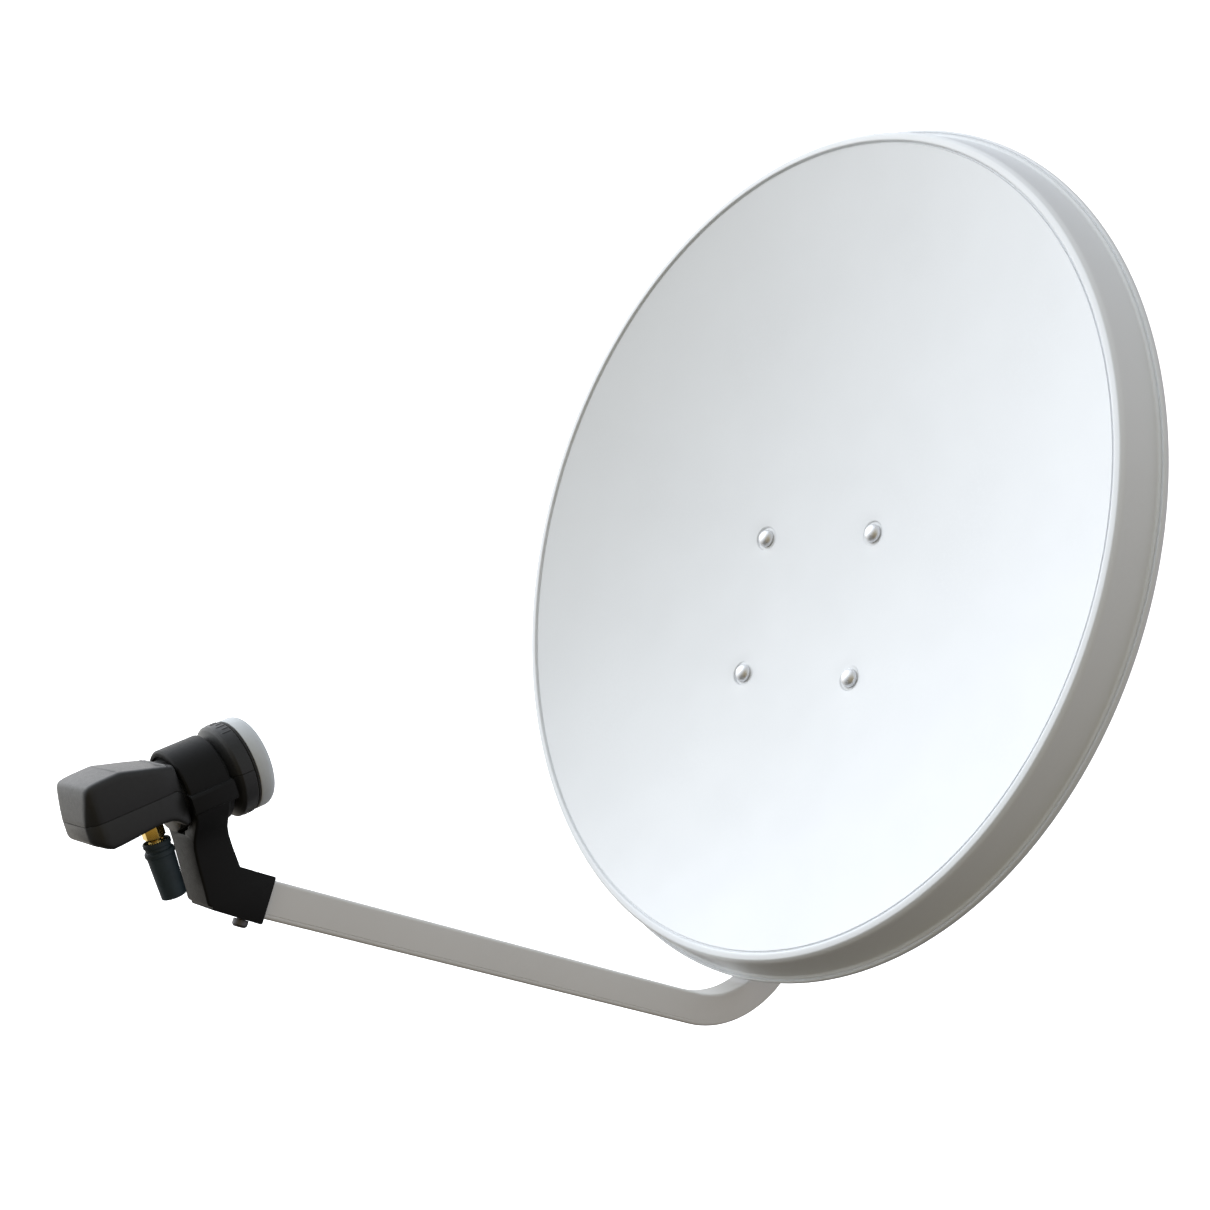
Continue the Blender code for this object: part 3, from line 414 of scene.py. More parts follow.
def mesh_from(name, bm):
    mesh = bpy.data.meshes.new(name)
    bm.to_mesh(mesh)
    bm.free()
    return mesh


def joined(*parts):
    """Several solids in one mesh, each still closed."""
    bm = bmesh.new()
    for part in parts:
        mesh = mesh_from("part", part)
        bm.from_mesh(mesh)
        bpy.data.meshes.remove(mesh)
    return bm


def combine(add, cut=(), keep=None):
    """Unites the solids in add, takes away those in cut, and keeps what lies inside one more, if given."""
    base = placed("helper", mesh_from("helper", add[0]))
    helpers = [base]
    steps = [("UNION", bm) for bm in add[1:]] + [("DIFFERENCE", bm) for bm in cut]
    if keep is not None:
        steps.append(("INTERSECT", keep))
    for operation, bm in steps:
        boolean = base.modifiers.new(operation.lower(), "BOOLEAN")
        boolean.operation = operation
        boolean.object = placed("helper", mesh_from("helper", bm))
        helpers.append(boolean.object)
    bpy.context.view_layer.update()
    evaluated = base.evaluated_get(bpy.context.evaluated_depsgraph_get())
    result = bmesh.new()
    result.from_mesh(evaluated.to_mesh())
    for made in helpers:
        mesh = made.data
        bpy.data.objects.remove(made)
        bpy.data.meshes.remove(mesh)
    bmesh.ops.remove_doubles(result, verts=result.verts, dist=0.002)
    flat = [edge for edge in result.edges if edge.is_manifold]
    bmesh.ops.dissolve_limit(result, angle_limit=radians(0.6), verts=result.verts, edges=flat)
    return result


def coat(mesh, look):
    mesh.materials.clear()
    mesh.materials.append(LOOKS[look])


def piece(name, bm, where, body, slot, stands_for, look=None, bevel=0.0, steps=2, bevel_angle=32, sharp=40):
    """Makes a piece from a solid in millimetres, with the look of its slot unless another one is named."""
    moved(bm, Matrix.Scale(MM, 4) @ where)
    mesh = mesh_from(name, bm)
    made = placed(name, mesh)
    if bevel:
        edge = made.modifiers.new("edges", "BEVEL")
        edge.width = bevel * MM
        edge.segments = steps
        edge.limit_method = "ANGLE"
        edge.angle_limit = radians(bevel_angle)
        edge.miter_outer = "MITER_ARC"
        bpy.context.view_layer.update()
        graph = bpy.context.evaluated_depsgraph_get()
        made.data = bpy.data.meshes.new_from_object(made.evaluated_get(graph))
        made.modifiers.clear()
        bpy.data.meshes.remove(mesh)
        made.data.name = name
    made.data.shade_smooth()
    made.data.set_sharp_from_angle(angle=radians(sharp))
    coat(made.data, look or slot)
    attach(made, body)
    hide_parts(stands_for)


# ---- fasteners

def thread(radius, pitch, low, high, steps=40):
    """A screw-threaded rod along Z, with a 60 degree ridge that runs round as a helix."""
    depth, rows_per_turn, lead_in = 0.55 * pitch, 6, 0.3
    rows = ceil((high - low) / pitch * rows_per_turn)
    sections = []
    for level in (low + (high - low) * row / rows for row in range(rows + 1)):
        taper = min(1.0, (level - low) / pitch + lead_in, (high - level) / pitch + lead_in)
        section = []
        for i in range(steps):
            ridge = 1 - abs(2 * ((level / pitch - i / steps) % 1) - 1)
            r = radius - depth * (1 - taper * ridge)
            section.append((r * cos(2 * pi * i / steps), r * sin(2 * pi * i / steps), level))
        sections.append(section)
    return loft(sections)


def turn_to(axis, sign):
    """Turns a solid drawn along +Z to point along an axis, either way."""
    target = axes_for(axis)[2] * sign
    return Vector((0, 0, 1)).rotation_difference(target).to_matrix().to_4x4()


def carriage_bolt(head, rise, length, neck_length):
    """A domed M6 bolt along +Z with a square neck: the head's underside is at 0 and the dome below it."""
    edge, threaded, half = 0.3, 16.0, SQUARE_NECK / 2
    dome = [(head * sin(a), -edge - rise * cos(a)) for a in (radians(6 * i) for i in range(1, 16))]
    profile = [(0, -edge - rise)] + dome + [(head * 0.985, 0), (0, 0)]
    square = prism(rounded_rectangle(-half, half, -half, half, 0.5, 3), "Z", -0.1, neck_length)
    shank = rod((0, 0), "Z", neck_length - 0.2, length - threaded + 0.2, M6 * 0.94, 40)
    return joined(turned(profile, "Z", steps=64), square, shank, thread(M6, 1.0, length - threaded, length))


def chamfered_hexagon(across_flats, low, high, both=True):
    """A hexagon with its corners turned off at both ends, or only at the top, as on a bolt's head."""
    corner = across_flats / 2 / cos(pi / 6)
    flat, wide = across_flats / 2 * 0.97, corner + 0.12
    cone = (corner - flat) * tan(radians(30))
    foot = [(flat, low), (wide, low + cone)] if both else [(corner + 1, low)]
    profile = [(0, low)] + foot + [(wide, high - cone), (flat, high), (0, high)]
    return combine([rod((0, 0), "Z", low - 1, high + 1, corner, 6)], keep=turned(profile, "Z", steps=72))


def hexagon_bolt(across_flats, head_height, radius, length, threaded):
    """A bolt along +Z: its head's underside is at 0 and the head below it."""
    head = moved(chamfered_hexagon(across_flats, 0, head_height, both=False), Matrix.Scale(-1, 4, (0, 0, 1)))
    bmesh.ops.reverse_faces(head, faces=head.faces)
    seat = across_flats * 0.46
    ring = turned(rounded([(0, -0.2), (seat, -0.2), (seat, 0), (0, 0)], 0.1, 2), "Z")
    shank = rod((0, 0), "Z", -0.5, length - threaded + 0.3, radius * 0.95, 40)
    return joined(head, ring, shank, thread(radius, radius * 0.32, length - threaded, length))


def flanged_nut(across_flats, height, bore, flange):
    """A nut along +Z, standing on its flange at 0."""
    body = chamfered_hexagon(across_flats, FLANGE, height)
    foot = rounded([(0, 0), (flange, 0), (flange, FLANGE), (across_flats / 2, 1.9), (0, 1.9)], 0.35, 3)
    hole = [(0, -1), (bore + 0.7, -1), (bore, 0.5), (bore, height - 0.6), (bore + 0.7, height + 0.1),
            (0, height + 0.1)]
    return combine([body, turned(foot, "Z")], [turned(hole, "Z", steps=48)])


def m6_nut():
    return flanged_nut(M6_FLATS, M6_NUT, M6, M6_FLANGE)


def washer():
    corners = [(WASHER_IN, 0), (WASHER_OUT, 0), (WASHER_OUT, WASHER), (WASHER_IN, WASHER)]
    return turned(rounded(corners, 0.3, 3, closed=True), "Z", steps=64)


def fastener(name, bm, at, axis="Y", sign=1, where=DISH, body="dish"):
    """Puts a fastener drawn along +Z at a place in a frame, instead of the node of that name."""
    there = where @ Matrix.Translation(at) @ turn_to(axis, sign)
    piece(name + "_fine", bm, there, body, "zinc_steel", name)


# ---- reflector

def bolt_places():
    return [(x, z) for z in (BOLT_HIGH, BOLT_LOW) for x in (-BOLT_X, BOLT_X)]


def bowl_depth(x, z):
    """How far the bowl's front face lies behind the rim plane: an offset cut from a paraboloid."""
    offset = asin(sqrt(1 - (BOWL_A / BOWL_B) ** 2))
    depth = 0.0
    for _ in range(12):
        up = (z + depth * sin(offset)) * cos(offset)
        depth = (BOWL_A ** 2 - x ** 2 - up ** 2) / (4 * FOCAL_LENGTH) * cos(offset)
    return max(depth, 0.0)


def smooth_step(value):
    value = min(1.0, max(0.0, value))
    return value * value * (3 - 2 * value)


def bowl_surface(x, z):
    """The bowl's front face, with flat seats pressed into it for the four bolt heads."""
    bolt_x, bolt_z = min(bolt_places(), key=lambda place: hypot(x - place[0], z - place[1]))
    away = hypot(x - bolt_x, z - bolt_z)
    soft = bowl_depth(x, z) + DIP_DEPTH * smooth_step((DIP_EDGE - away) / DIP_WALL)
    seat = bowl_depth(bolt_x, bolt_z) + DIMPLE_DEPTH
    return soft + (seat - soft) * smooth_step((DIMPLE_EDGE - away) / DIMPLE_WALL + 0.5)


def bowl_points():
    """Places over the bowl: evenly spaced rings, and close rings round each bolt."""
    points = [Vector((0, 0))]
    for k in range(1, BOWL_RINGS):
        part = k / BOWL_RINGS
        count = max(6, round(RIM_STEPS * part))
        for x, z in circle(part, count, pi * (k % 2) / count):
            x, z = x * BOWL_A, z * BOWL_B
            if all(hypot(x - bolt_x, z - bolt_z) > DIMPLE_CLEAR for bolt_x, bolt_z in bolt_places()):
                points.append(Vector((x, z)))
    for centre in bolt_places():
        for step in (-5.8, -3.3, -1.5, -0.7, -0.3, 0.0, 0.3, 0.7, 1.5, 2.9, 4.6, 6.4):
            points += [Vector(p) for p in circle(DIMPLE_EDGE + step, DIMPLE_STEPS, centre=centre)]
    return points


# The rim's section over bead, skirt and lip, and back again: how far outside the bowl and how far behind it
RIM_FRONT = [(0.2, 0.5), (0.5, 0.9), (0.95, 1.0), (1.35, 0.75), (1.55, 0.1), (1.65, -0.6), (1.85, -1.15),
             (2.2, -1.5), (2.7, -1.66), (3.6, -1.7), (5.7, -1.7), (6.2, -1.62), (6.6, -1.4), (6.95, -1.05),
             (7.4, -0.6), (7.9, -0.05), (8.35, 0.55), (8.75, 1.3), (9.1, 2.3), (9.5, 3.8), (10.4, 7.4),
             (12.0, 13.2), (13.6, 18.4), (15.0, 23.2), (15.35, 24.15), (15.7, 24.6), (16.15, 24.85),
             (16.8, 25.0), (17.3, 25.15), (17.6, 25.55), (17.85, 25.95), (18.15, 25.95), (18.35, 25.6),
             (18.6, 25.2), (19.0, 24.95), (19.5, 25.0), (20.0, 25.35), (20.35, 26.0),
             (20.5, 27.0), (20.5, 28.2)]
RIM_BACK = [(20.3, 29.0), (19.8, 29.5), (19.1, 29.6), (18.4, 29.2), (17.7, 28.3), (17.0, 27.4), (16.1, 26.8),
            (14.9, 26.1), (14.2, 24.8), (12.4, 18.4), (9.1, 7.5), (8.3, 4.0), (7.9, 2.7), (7.4, 1.8),
            (6.6, 0.8), (6.0, 0.1), (5.3, -0.3), (3.6, -0.3), (2.6, 0.1), (1.5, 1.2), (0.6, 1.7)]


def reflector():
    """The pressed sheet: the bowl's front and back, joined by the rim's section."""
    rim = [Vector((BOWL_A * u, BOWL_B * v)) for u, v in circle(1, RIM_STEPS)]
    flat, _, triangles, *_ = geometry.delaunay_2d_cdt(rim + bowl_points(), [], [], 0, 1e-4)
    bm = bmesh.new()

    def skin(shift):
        made = [bm.verts.new((p.x, bowl_surface(p.x, p.y) + shift, p.y)) for p in flat]
        for corners in triangles:
            bm.faces.new([made[i] for i in corners])
        return made[:RIM_STEPS]

    def loop(out, back):
        wide, high = (BOWL_A + out) / BOWL_A, (BOWL_B + out) / BOWL_B
        return [bm.verts.new((wide * p.x, back, high * p.y)) for p in rim]

    bridge(bm, [skin(0)] + [loop(*point) for point in RIM_FRONT + RIM_BACK] + [skin(SHEET)])
    bmesh.ops.recalc_face_normals(bm, faces=bm.faces)
    return bm


# ---- back plate and feed arm

def square_hole(x, z):
    return box((x - SQUARE_HOLE, 0, z - SQUARE_HOLE), (x + SQUARE_HOLE, FAR, z + SQUARE_HOLE))


def back_plate():
    """The pressed plate behind the bowl with its standoffs and two cheeks."""
    back = PLATE_FRONT + PLATE
    corners = [(z, x, PLATE_CORNER) for x in (-PLATE_HALF + PLATE_CORNER, PLATE_HALF - PLATE_CORNER)
               for z in (PLATE_TOP - PLATE_CORNER, BOLT_LOW - 4)]
    corners += [(PLATE_BOTTOM + PLATE_CORNER, x, PLATE_CORNER) for x in (-PLATE_TAB, PLATE_TAB)]
    solids = [prism(hull_outline(corners), "Y", PLATE_FRONT, back)]
    cheek = hull_outline([(PIVOT_Y, PIVOT_Z, 14), (PIVOT_Y, PIVOT_Z - LOCK_RADIUS, 10)],
                         [(back - 1, 16), (back - 1, -96)])
    for low in (CHEEK_IN, -CHEEK_OUT):
        solids.append(prism(cheek, "X", low, low + CHEEK_OUT - CHEEK_IN))
    holes = []
    for x, z in bolt_places():
        seat = bowl_depth(x, z) + SHEET + 5 * GAP
        standoff = [(0, seat), (STANDOFF, seat), (STANDOFF_FOOT, back - 1), (0, back - 1)]
        solids.append(turned(standoff, "Y", (z, x), 48))
        holes.append(square_hole(x, z))
    holes += [square_hole(0, z) for z in ARM_BOLT_HEIGHTS.values()]
    holes.append(rod((PIVOT_Y, PIVOT_Z), "X", -FAR, FAR, M8_HOLE))
    holes.append(rod((PIVOT_Y, PIVOT_Z - LOCK_RADIUS), "X", -FAR, FAR, M6_HOLE))
    holes.append(rod((CABLE_HOLE_Z, 0), "Y", 0, FAR, CABLE_HOLE, 64))
    return combine(solids, holes)


def arm_path():
    """Stations along the arm as (y, z, direction): straight, round the bend and up behind the bowl."""
    def arc(y, z, radius, low, high, steps):
        turns = [low + (high - low) * i / steps for i in range(steps + 1)]
        return [(y + radius * sin(a), z - radius * cos(a), a) for a in turns]

    y, z = ARM_BEND_CENTRE
    bend = arc(y, z, ARM_BEND_RADIUS, -ARM_DROP, ARM_BEND_ANGLE, BEND_STEPS)
    step = ARM_BEND_RADIUS - ARM_RISE_RADIUS
    y, z = y + step * sin(ARM_BEND_ANGLE), z - step * cos(ARM_BEND_ANGLE)
    rise = arc(y, z, ARM_RISE_RADIUS, ARM_BEND_ANGLE, pi / 2, RISE_STEPS)
    bend_y, bend_z, _ = bend[0]
    straight = []
    for y in (ARM_START_Y + (bend_y - ARM_START_Y) * i / ARM_STEPS for i in range(ARM_STEPS)):
        straight.append((y, bend_z + (bend_y - y) * tan(ARM_DROP), -ARM_DROP))
    return straight + bend + rise[1:] + [(rise[-1][0], ARM_TOP, pi / 2)]


def across_arm(flat, station):
    """Takes (x, height) points across the arm to a station of its path."""
    y, z, angle = station
    return [(u, y - v * sin(angle), z + v * cos(angle)) for u, v in flat]


def arm_outline(seam):
    """The tube's outline, with its folded seam low on both sides; seam fades from 1 to 0."""
    w, h, c = ARM_WIDTH / 2, ARM_HEIGHT / 2, ARM_CORNER
    corner = [(c * (1 - cos(a)), c * (1 - sin(a))) for a in (pi / 2 * i / 6 for i in range(7))]
    groove = [(0, SEAM_HEIGHT + step * SEAM_HALF) for step in (-2, -1, 0, 1, 2)]
    groove[2] = (seam * SEAM_DEPTH, SEAM_HEIGHT)
    side = [(w - b, -h + a) for a, b in corner] + [(w - a, b) for a, b in groove]
    side += [(w - a, h - b) for a, b in corner]
    return side + [(-u, v) for u, v in side[::-1]]


def feed_arm():
    """The tube: its outside one way along the path and its inside back again."""
    stations = arm_path()
    outer = []
    for i, station in enumerate(stations):
        seam = 1 - smooth_step((i - ARM_STEPS + SEAM_FADE / 2) / SEAM_FADE)
        outer.append(across_arm(arm_outline(seam), station))
    half_w, half_h = ARM_WIDTH / 2, ARM_HEIGHT / 2
    hole = [(u * (half_w - ARM_WALL) / half_w, v * (half_h - ARM_WALL) / half_h) for u, v in arm_outline(0)]
    inner = [across_arm(hole, station) for station in stations]
    return loft(outer + inner[::-1], looped=True)


def arm_centre(y):
    """The height of the arm's middle on its straight run."""
    first_y, first_z, _ = arm_path()[0]
    return first_z + (first_y - y) * tan(ARM_DROP)


def in_arm_frame(bm, y):
    """Takes a solid drawn with Y along the arm to the place y on the arm's straight run."""
    return moved(bm, Matrix.Translation((0, y, arm_centre(y))) @ Matrix.Rotation(-ARM_DROP, 4, "X"))


def arm_end_plug():
    half_w, half_h = ARM_WIDTH / 2, ARM_HEIGHT / 2
    y = arm_path()[-1][0]
    outline = rounded_rectangle(-half_w, half_w, y - half_h, y + half_h, ARM_CORNER)
    head = prism(outline, "Z", ARM_TOP + GAP, ARM_TOP + 3)
    half_w, half_h = (half - ARM_WALL - 3 * GAP for half in (half_w, half_h))
    stem = box((-half_w, y - half_h, ARM_TOP - 9), (half_w, y + half_h, ARM_TOP + 1))
    return combine([head, stem])


# ---- feed holder

def mirrored(profile):
    """A profile with its upper half given, and the lower half its mirror image."""
    return [(radius, -height) for radius, height in profile[::-1]] + profile


def ring_bore():
    """The ring's bore, with the shallow step round each end of it."""
    wide, end = RING_IN + 1.5, RING_HALF - 1.1
    return turned(mirrored([(RING_IN, end), (wide, end), (wide, FAR), (0, FAR)]), "Y", steps=128)


def ring_solid():
    narrow, end = RING_OUT - RING_EDGE, RING_HALF - RING_EDGE
    profile = mirrored([(RING_OUT, end), (narrow, RING_HALF), (0, RING_HALF)])
    return turned(rounded(profile, 0.9, 4), "Y", steps=128)


# Level, rear, front, half width
LEG_LEVELS = [
    (-9.5, -12.0, 9.4, 23.6), (-12, -12.3, 9.0, 23.4), (-14, -12.4, 8.6, 22.8), (-18, -13.0, 7.6, 20.8),
    (-22, -13.8, 7.0, 18.2), (-26, -14.6, 6.5, 15.8), (-31, -15.3, 6.3, 14.4), (-38, -15.9, 6.4, 14.0),
    (-50, -16.6, 6.9, 14.0), (-62.2, -17.5, 8.0, 14.0), (-63.6, -17.2, 8.1, 14.0), (-64.6, -16.3, 8.2, 14.0),
    (-65.2, -14.6, 8.3, 14.0)]


def leg_section(level, rear, front, half):
    return [(u, v, level) for u, v in rounded_rectangle(-half, half, rear, front, 1.5, 4)]


def holder_base():
    """The lower half of the ring, its leg and the socket for the arm, in the dish frame."""
    half_ring = combine([ring_solid()], keep=box((-FAR, -FAR, -FAR), (FAR, FAR, -GAP / 2)))
    leg = loft([leg_section(*level) for level in LEG_LEVELS])
    socket = prism(rounded(SOCKET, 1.2, 4, closed=True), "X", -SOCKET_HALF, SOCKET_HALF)
    notch = box((-5, -20, -23.4), (5, -3, -15))
    half_w, half_h = ARM_WIDTH / 2 + GAP, ARM_HEIGHT / 2 + GAP
    pocket = in_arm_frame(box((-half_w, -GAP / 2, -half_h), (half_w, FAR, half_h)), ARM_START_Y)
    half_w = SOCKET_HALF - TRAY_RIM
    tray = in_arm_frame(box((-half_w, -1.5, 13.9 - TRAY_DEPTH), (half_w, 22.5, 20)), TRAY_Y)
    return combine([moved(half_ring, RING_IN_DISH), moved(leg, RING_IN_DISH), socket],
                   [moved(ring_bore(), RING_IN_DISH), moved(notch, RING_IN_DISH), pocket, tray])


def holder_cap():
    """The upper half of the ring, with an ear down each side of the lower half."""
    ring = combine([ring_solid()], keep=box((-FAR, -FAR, GAP / 2), (FAR, FAR, FAR)))
    inner = RING_OUT + GAP
    outline = [(EAR_IN, 0.3), (inner, 0.3), (inner, -EAR_DEPTH), (EAR_OUT - 0.8, -EAR_DEPTH),
               (EAR_OUT, 1.2 - EAR_DEPTH), (EAR_OUT, -0.6), (EAR_OUT - 0.9, 0.7), (RING_OUT - 0.2, 1.4),
               (EAR_IN, 2)]
    ears = [prism([(z, side * x) for x, z in outline], "Y", -RING_HALF - EAR_PROUD, RING_HALF)
            for side in (-1, 1)]
    return combine([ring] + ears, [ring_bore()])


def holder_screw():
    """The pan screw under the socket, with its cross recess."""
    dome = rounded([(0, -18.9), (3.4, -18.8), (4.5, -17.4), (4.5, -15.5)], 0.6, 4)
    head = turned(dome + [(4.5, -14.6), (4.35, -14.45), (2.6, -14.45), (2.6, -6.8), (0, -6.0)], "Z", steps=64)
    slots = [box((-u, -v, -20), (u, v, -18)) for u, v in ((2.4, 0.5), (0.5, 2.4))]
    return in_arm_frame(combine([head], slots), SCREW_Y)


# ---- converter

BODY_STATIONS = [  # place along the converter, floor, roof, half width, corner radius
    (-67.8, -3.0, 5.4, 15.8, 2.5), (-67.4, -3.9, 8.4, 16.9, 3), (-66.4, -5.2, 13.6, 18.4, 3.5),
    (-65.0, -6.3, 19.6, 20.0, 4), (-63.8, -7.0, 24.0, 21.2, 4), (-62.6, -7.9, 25.6, 22.2, 4),
    (-61.2, -8.9, 26.3, 22.7, 4), (-58.3, -10.3, 26.8, 23, 4), (-54, -10.2, 27.1, 23, 4),
    (-48, -9.8, 27.3, 23, 4), (-44, -9.5, 27.4, 23, 4), (-42, -9.3, 27.1, 23, 4), (-38, -8.9, 26.0, 23, 4),
    (-33, -8.5, 24.6, 23, 4), (-28, -8.6, 23.2, 23, 4), (-24, -9.2, 22.1, 22.8, 4),
    (-21, -10.8, 21.2, 22.4, 4), (-18.5, -13.3, 20.5, 21.9, 4), (-16.9, -14.8, 20.0, 21.5, 4),
    (-16.2, -15.0, 19.8, 21.3, 4), (-14.6, -15.0, 19.4, 20.9, 4), (-14.0, -14.6, 18.8, 20.3, 4)]


def body_section(y, floor, roof, half, radius):
    radius = min(radius, 0.45 * (roof - floor))
    return [(u, y, v) for u, v in rounded_rectangle(-half, half, floor, roof, radius, 7)]


def collar_profile():
    """The collar's shoulder and rim, and the spigot that the horn cap sits on."""
    full = [(NECK, COLLAR_START), (NECK + 0.6, COLLAR_START + 0.15), (COLLAR_RADIUS - 1.6, COLLAR_FULL - 1.3),
            (COLLAR_RADIUS, COLLAR_FULL + 0.3), (COLLAR_RADIUS, COLLAR_END - 0.6),
            (SPIGOT_RADIUS, COLLAR_END - 0.6), (SPIGOT_RADIUS, COLLAR_END + 6)]
    return [(0, COLLAR_START)] + rounded(full, 0.8, 5) + [(0, COLLAR_END + 6)]


def skew_marks():
    """Short raised marks round the collar, one every 7.5 degrees at the top and at the bottom."""
    marks = []
    for base in (0, pi):
        for i in range(-4, 5):
            length = 3.4 if i % 2 else 5.2
            mark = box((-0.28, COLLAR_END - 1.2 - length, COLLAR_RADIUS - 0.3),
                       (0.28, COLLAR_END - 1.2, COLLAR_RADIUS + 0.22))
            marks.append(moved(mark, Matrix.Rotation(base + radians(7.5 * i), 4, "Y")))
    return marks


def converter_form():
    """The converter's outside: the wedge-shaped box with two ridges on its roof, the neck and the collar."""
    body = loft([body_section(*station) for station in BODY_STATIONS])
    ridge = mirrored([(0.9, 15.5), (0, 20.5)])
    ridges = [turned(ridge, "X", place, 24) for place in BODY_RIDGES]
    rear, front = BODY_FRONT - 4, COLLAR_START + 6
    neck = turned([(0, rear), (NECK, rear), (NECK, front), (0, front)], "Y", steps=128)
    return [body, neck, turned(collar_profile(), "Y", steps=128)] + ridges + skew_marks()


def converter_hollow():
    """The rooms for the board, the horn and the port."""
    board_room = box((-19.5, BODY_REAR + 7, -5.2), (19.5, HORN_REAR + GAP, 15.5))
    rear, inner, mouth, front = HORN_REAR - GAP, HORN_OUT + GAP, HORN_MOUTH + GAP, COLLAR_END + 10
    horn_room = turned([(0, rear), (inner, rear), (inner, COLLAR_START + 3), (mouth, COLLAR_FULL + 3),
                        (mouth, front), (0, front)], "Y")
    port_room = rod((0, PORT_Y), "Z", -FAR, 0, PORT_RADIUS + GAP, 64)
    return [board_room, horn_room, port_room]


def parting(side):
    """All the space above (side 1) or below (side -1) the joint between the two shells."""
    rear, front = PARTING_REAR + side * GAP / 2, PARTING_FRONT + side * GAP / 2
    line = rounded([(-2 * FAR, rear), (-17, rear), (-10.5, front), (FAR, front)], 2.5)
    return prism(line + [(FAR, side * FAR), (-2 * FAR, side * FAR)], "X", -FAR, FAR)


def converter_shell(side):
    return combine(converter_form(), converter_hollow(), keep=parting(side))


def horn_cap():
    """The pale cap of the horn, slightly domed, with a well rounded edge."""
    inner, low, edge, rise = SPIGOT_RADIUS + GAP, COLLAR_END + 1.5, 5.2, 0.55
    flat = CAP_RADIUS - edge
    dome = [(0, CAP_END)] + [(flat * t, CAP_END - rise * t * t) for t in (0.2, 0.4, 0.6, 0.8)]
    turns = [pi / 2 * i / 12 for i in range(13)]
    round_edge = [(CAP_RADIUS - edge * (1 - sin(a)), CAP_END - rise - edge * (1 - cos(a))) for a in turns]
    wall = [(CAP_RADIUS, low + 0.4), (CAP_RADIUS - 0.3, low), (inner, low), (inner, CAP_END - 3.6),
            (0, CAP_END - 2)]
    return turned(dome + round_edge + wall, "Y", steps=160)


def seal_ring():
    low, high = COLLAR_END - 0.3, COLLAR_END + 1.2
    middle, half = (low + high) / 2, (high - low) / 2
    turns = [pi / 8 * i for i in range(-4, 5)]
    bulge = [(CAP_RADIUS - 0.9 + 0.6 * cos(a), middle + half * sin(a)) for a in turns]
    inner = SPIGOT_RADIUS + GAP
    return turned([(inner, low)] + bulge + [(inner, high)], "Y", steps=128)


def f_port():
    """The port's threaded barrel, below the flange that the lower shell holds."""
    bare = PORT_RADIUS - 0.2
    flange = [(0, 2.0), (3.4, 2.0), (3.4, PORT_TOP + 1.5), (6.4, PORT_TOP + 1.5), (6.4, PORT_TOP),
              (bare, PORT_TOP), (bare, -9), (0, -9)]
    screw = combine([thread(PORT_RADIUS, PORT_PITCH, PORT_END, -8.5, 64)],
                    [rod((0, 0), "Z", PORT_END - 1, -12, PORT_BORE)])
    flange = turned(rounded(flange, 0.2, 2), "Z", steps=64)
    return moved(joined(flange, screw), Matrix.Translation((0, PORT_Y, 0)))


def connector_nut():
    """The hexagon nut of the F connector, with the lip below it that holds it on."""
    bore = PORT_RADIUS + GAP
    hole = [(0, -9), (bore + 0.7, -9), (bore, -11.3), (bore, -19), (0, -19)]
    body = combine([chamfered_hexagon(CONNECTOR_FLATS, CONNECTOR_END, CONNECTOR_TOP)],
                   [turned(hole, "Z", steps=64)])
    lip = rounded([(3.2, -18.6), (5.35, -18.6), (5.2, -19.0), (4.7, -19.6), (3.2, -19.6)], 0.3, 4)
    return moved(joined(body, turned(lip, "Z", steps=64)), Matrix.Translation((0, PORT_Y, 0)))


def connector_barrel():
    """The crimp body with its diamond knurl, and the post that the nut turns on."""
    steps, rows, ridges = 120, 48, 20
    low, high, radius, depth = -32.0, -20.5, 4.3, 0.28
    sections = []
    for level in (low + (high - low) * row / rows for row in range(rows + 1)):
        fade = smooth_step(min(level - low, high - level) / 0.5)
        climb = (level - low) * 1.1 / radius
        section = []
        for angle in (2 * pi * i / steps for i in range(steps)):
            one, other = (abs(((angle + turn) * ridges / (2 * pi)) % 1 - 0.5) * 2 for turn in (climb, -climb))
            r = min(radius, radius - depth + depth * fade * min(one, other) * 1.4)
            section.append((r * cos(angle), PORT_Y + r * sin(angle), level))
        sections.append(section)
    post = [(1.8, -18.3), (2.9, -18.3), (2.9, -20.1), (4.1, -20.1), (4.1, -20.6), (1.8, -20.6)]
    body = combine([loft(sections)], [rod((0, PORT_Y), "Z", -FAR, 0, 2.2)])
    return joined(body, turned(post, "Z", (0, PORT_Y), 64))


def weather_boot():
    """The rubber sleeve: two rolls, the thick collar, and the tapered body with its chamfered mouth."""
    outside = [(6.8, 0), (7.55, 0.1), (7.8, 1.0), (7.75, 2.6), (7.2, 3.2), (7.1, 4.9), (7.9, 5.3),
               (8.35, 6.2), (8.3, 8.0), (7.75, 8.7), (7.6, 12), (6.9, 33)]
    inside = [(3.6, 33), (3.6, 29), (4.7, 28), (4.7, 12.6), (6.8, 11.6)]
    profile = [(radius, BOOT_TOP - down) for radius, down in outside + inside]
    return turned(rounded(profile, 0.45, 4, closed=True), "Z", (0, PORT_Y))


# ---- mast bracket and clamp

def slot_point(angle, radius=LOCK_RADIUS):
    """A point of the lock slot's circle; angle is forward from straight below the pivot."""
    return PIVOT.y - radius * sin(angle), PIVOT.z - radius * cos(angle)


